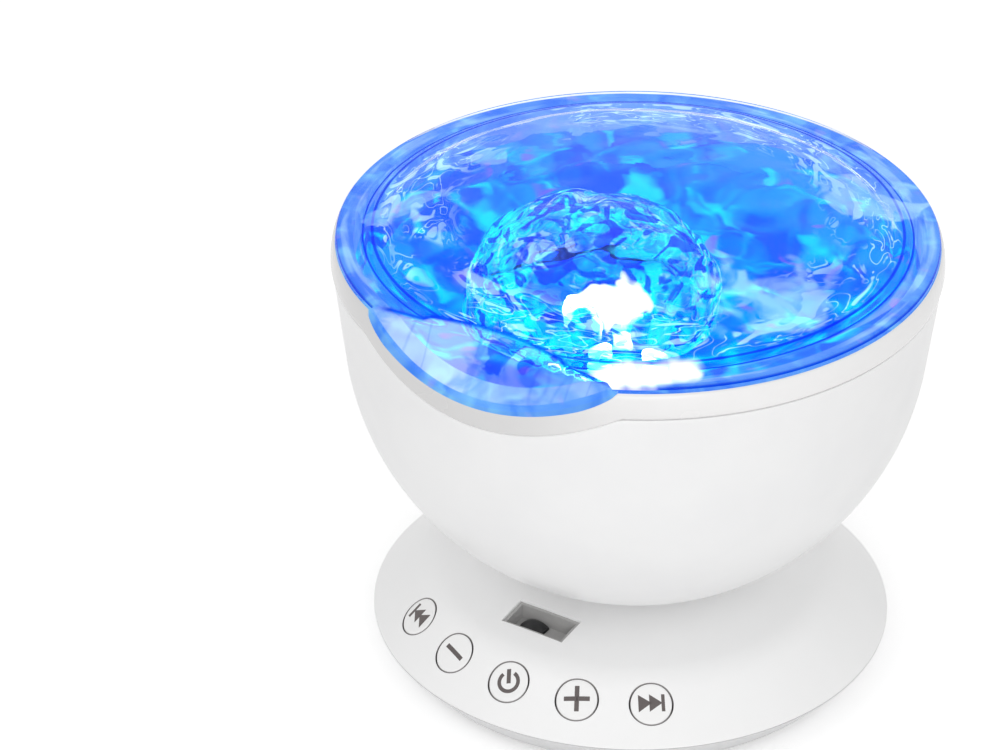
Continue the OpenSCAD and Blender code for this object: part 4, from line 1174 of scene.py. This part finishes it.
NODE_FINISH = {
    "rubber_feet": rubber, "base_screws": steel, "board_screws": steel, "chassis_screws": steel,
    "motor_screws": steel, "ir_bezel": smoke, "ir_receiver": black_plastic, "main_board": board_green,
    "tact_switches": black_plastic, "control_chips": black_plastic, "speaker_frame": steel,
    "speaker_cone": black_plastic, "speaker_magnet": steel, "port_board": board_green, "usb_socket": steel,
    "aux_socket": black_plastic, "card_socket": steel, "seat_ring": inner_plastic, "tilt_stud": steel,
    "tilt_saddle": inner_plastic, "tilt_spring": steel, "tilt_nut": steel, "lamp_chassis": core_light,
    "led_board": core_light, "leds": lamp, "gear_retainer": core_light, "dome_gear": core_light,
    "drive_motor": steel, "motor_shaft": steel, "motor_pinion": inner_plastic,
}
for node, finish in NODE_FINISH.items():
    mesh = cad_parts[node].data
    mesh.materials.clear()
    mesh.materials.append(finish)


# Stage, in metres and degrees

CAMERA_PLACE = (0.3871, -0.6458, 0.5274)
CAMERA_ROUND = 33.2
CAMERA_UP = 31.41
SENSOR_MM = 36.0
LENS_MM = 144.0
LIT_POINT = (0.0, 0.0, 0.05)


def area_light(name, place, size, power):
    """A soft box of (width, height) at a place, turned to the part's middle."""
    data = bpy.data.lights.new(name, "AREA")
    data.shape = "RECTANGLE"
    data.size, data.size_y = size
    data.energy = power
    lamp_object = bpy.data.objects.new(name, data)
    bpy.context.scene.collection.objects.link(lamp_object)
    lamp_object.location = place
    way = np.subtract(LIT_POINT, place)
    lamp_object.rotation_euler = (
        math.acos(-way[2] / np.linalg.norm(way)), 0.0, math.atan2(way[1], way[0]) - math.pi / 2)


def seen(w):
    """1 for a ray that shows the background: from the camera, off a glossy face or through a clear one."""
    path = w.node("ShaderNodeLightPath")
    through = w.maths("MAXIMUM", path.outputs["Is Glossy Ray"], path.outputs["Is Transmission Ray"])
    return w.maths("MAXIMUM", path.outputs["Is Camera Ray"], through)


def stage_floor():
    """A pale flat round floor, white where it is seen but for the part's shadow."""
    angle = turn_angles(96)[None, :]
    r = np.array([0.0, 150.0, 400.0, 1200.0, 4000.0])[:, None]
    piece = skin("floor", [(polar(r, angle, 0.0 * r - 0.05), False, True, 0)])
    material, w, shader = new_material("floor_white")
    shader.inputs["Base Color"].default_value = (0.9, 0.9, 0.9, 1.0)
    shader.inputs["Roughness"].default_value = 0.9
    shader.inputs["Specular IOR Level"].default_value = 0.0
    shader.inputs["Emission Color"].default_value = (1.0, 1.0, 1.0, 1.0)
    w.put(shader.inputs["Emission Strength"], w.maths("MULTIPLY", seen(w), 0.35))
    piece.data.materials.append(material)


def stage_world():
    """Even white all round, full white where it is seen and softer where it only lights."""
    world = bpy.data.worlds.new("studio")
    bpy.context.scene.world = world
    world.use_nodes = True
    w = Wiring(world.node_tree)
    back = world.node_tree.nodes["Background"]
    back.inputs["Color"].default_value = (1.0, 1.0, 1.0, 1.0)
    w.put(back.inputs["Strength"], w.maths("MULTIPLY_ADD", seen(w), 0.29, 0.71))


def stage_camera():
    """Camera at the viewing angle, turned round to the right of the front and looking down."""
    data = bpy.data.cameras.new("camera")
    data.sensor_fit = "HORIZONTAL"
    data.sensor_width = SENSOR_MM
    data.lens = LENS_MM
    camera = bpy.data.objects.new("camera", data)
    bpy.context.scene.collection.objects.link(camera)
    camera.location = CAMERA_PLACE
    camera.rotation_euler = (math.radians(90.0 - CAMERA_UP), 0.0, math.radians(CAMERA_ROUND))
    bpy.context.scene.camera = camera


stage_floor()
stage_world()
stage_camera()
area_light("key_box", place=(0.58, -0.82, 0.42), size=(0.6, 0.5), power=2.8)
area_light("fill_box", place=(-0.2, -0.6, 1.0), size=(0.8, 0.5), power=0.6)
bpy.context.scene.view_settings.view_transform = "Standard"
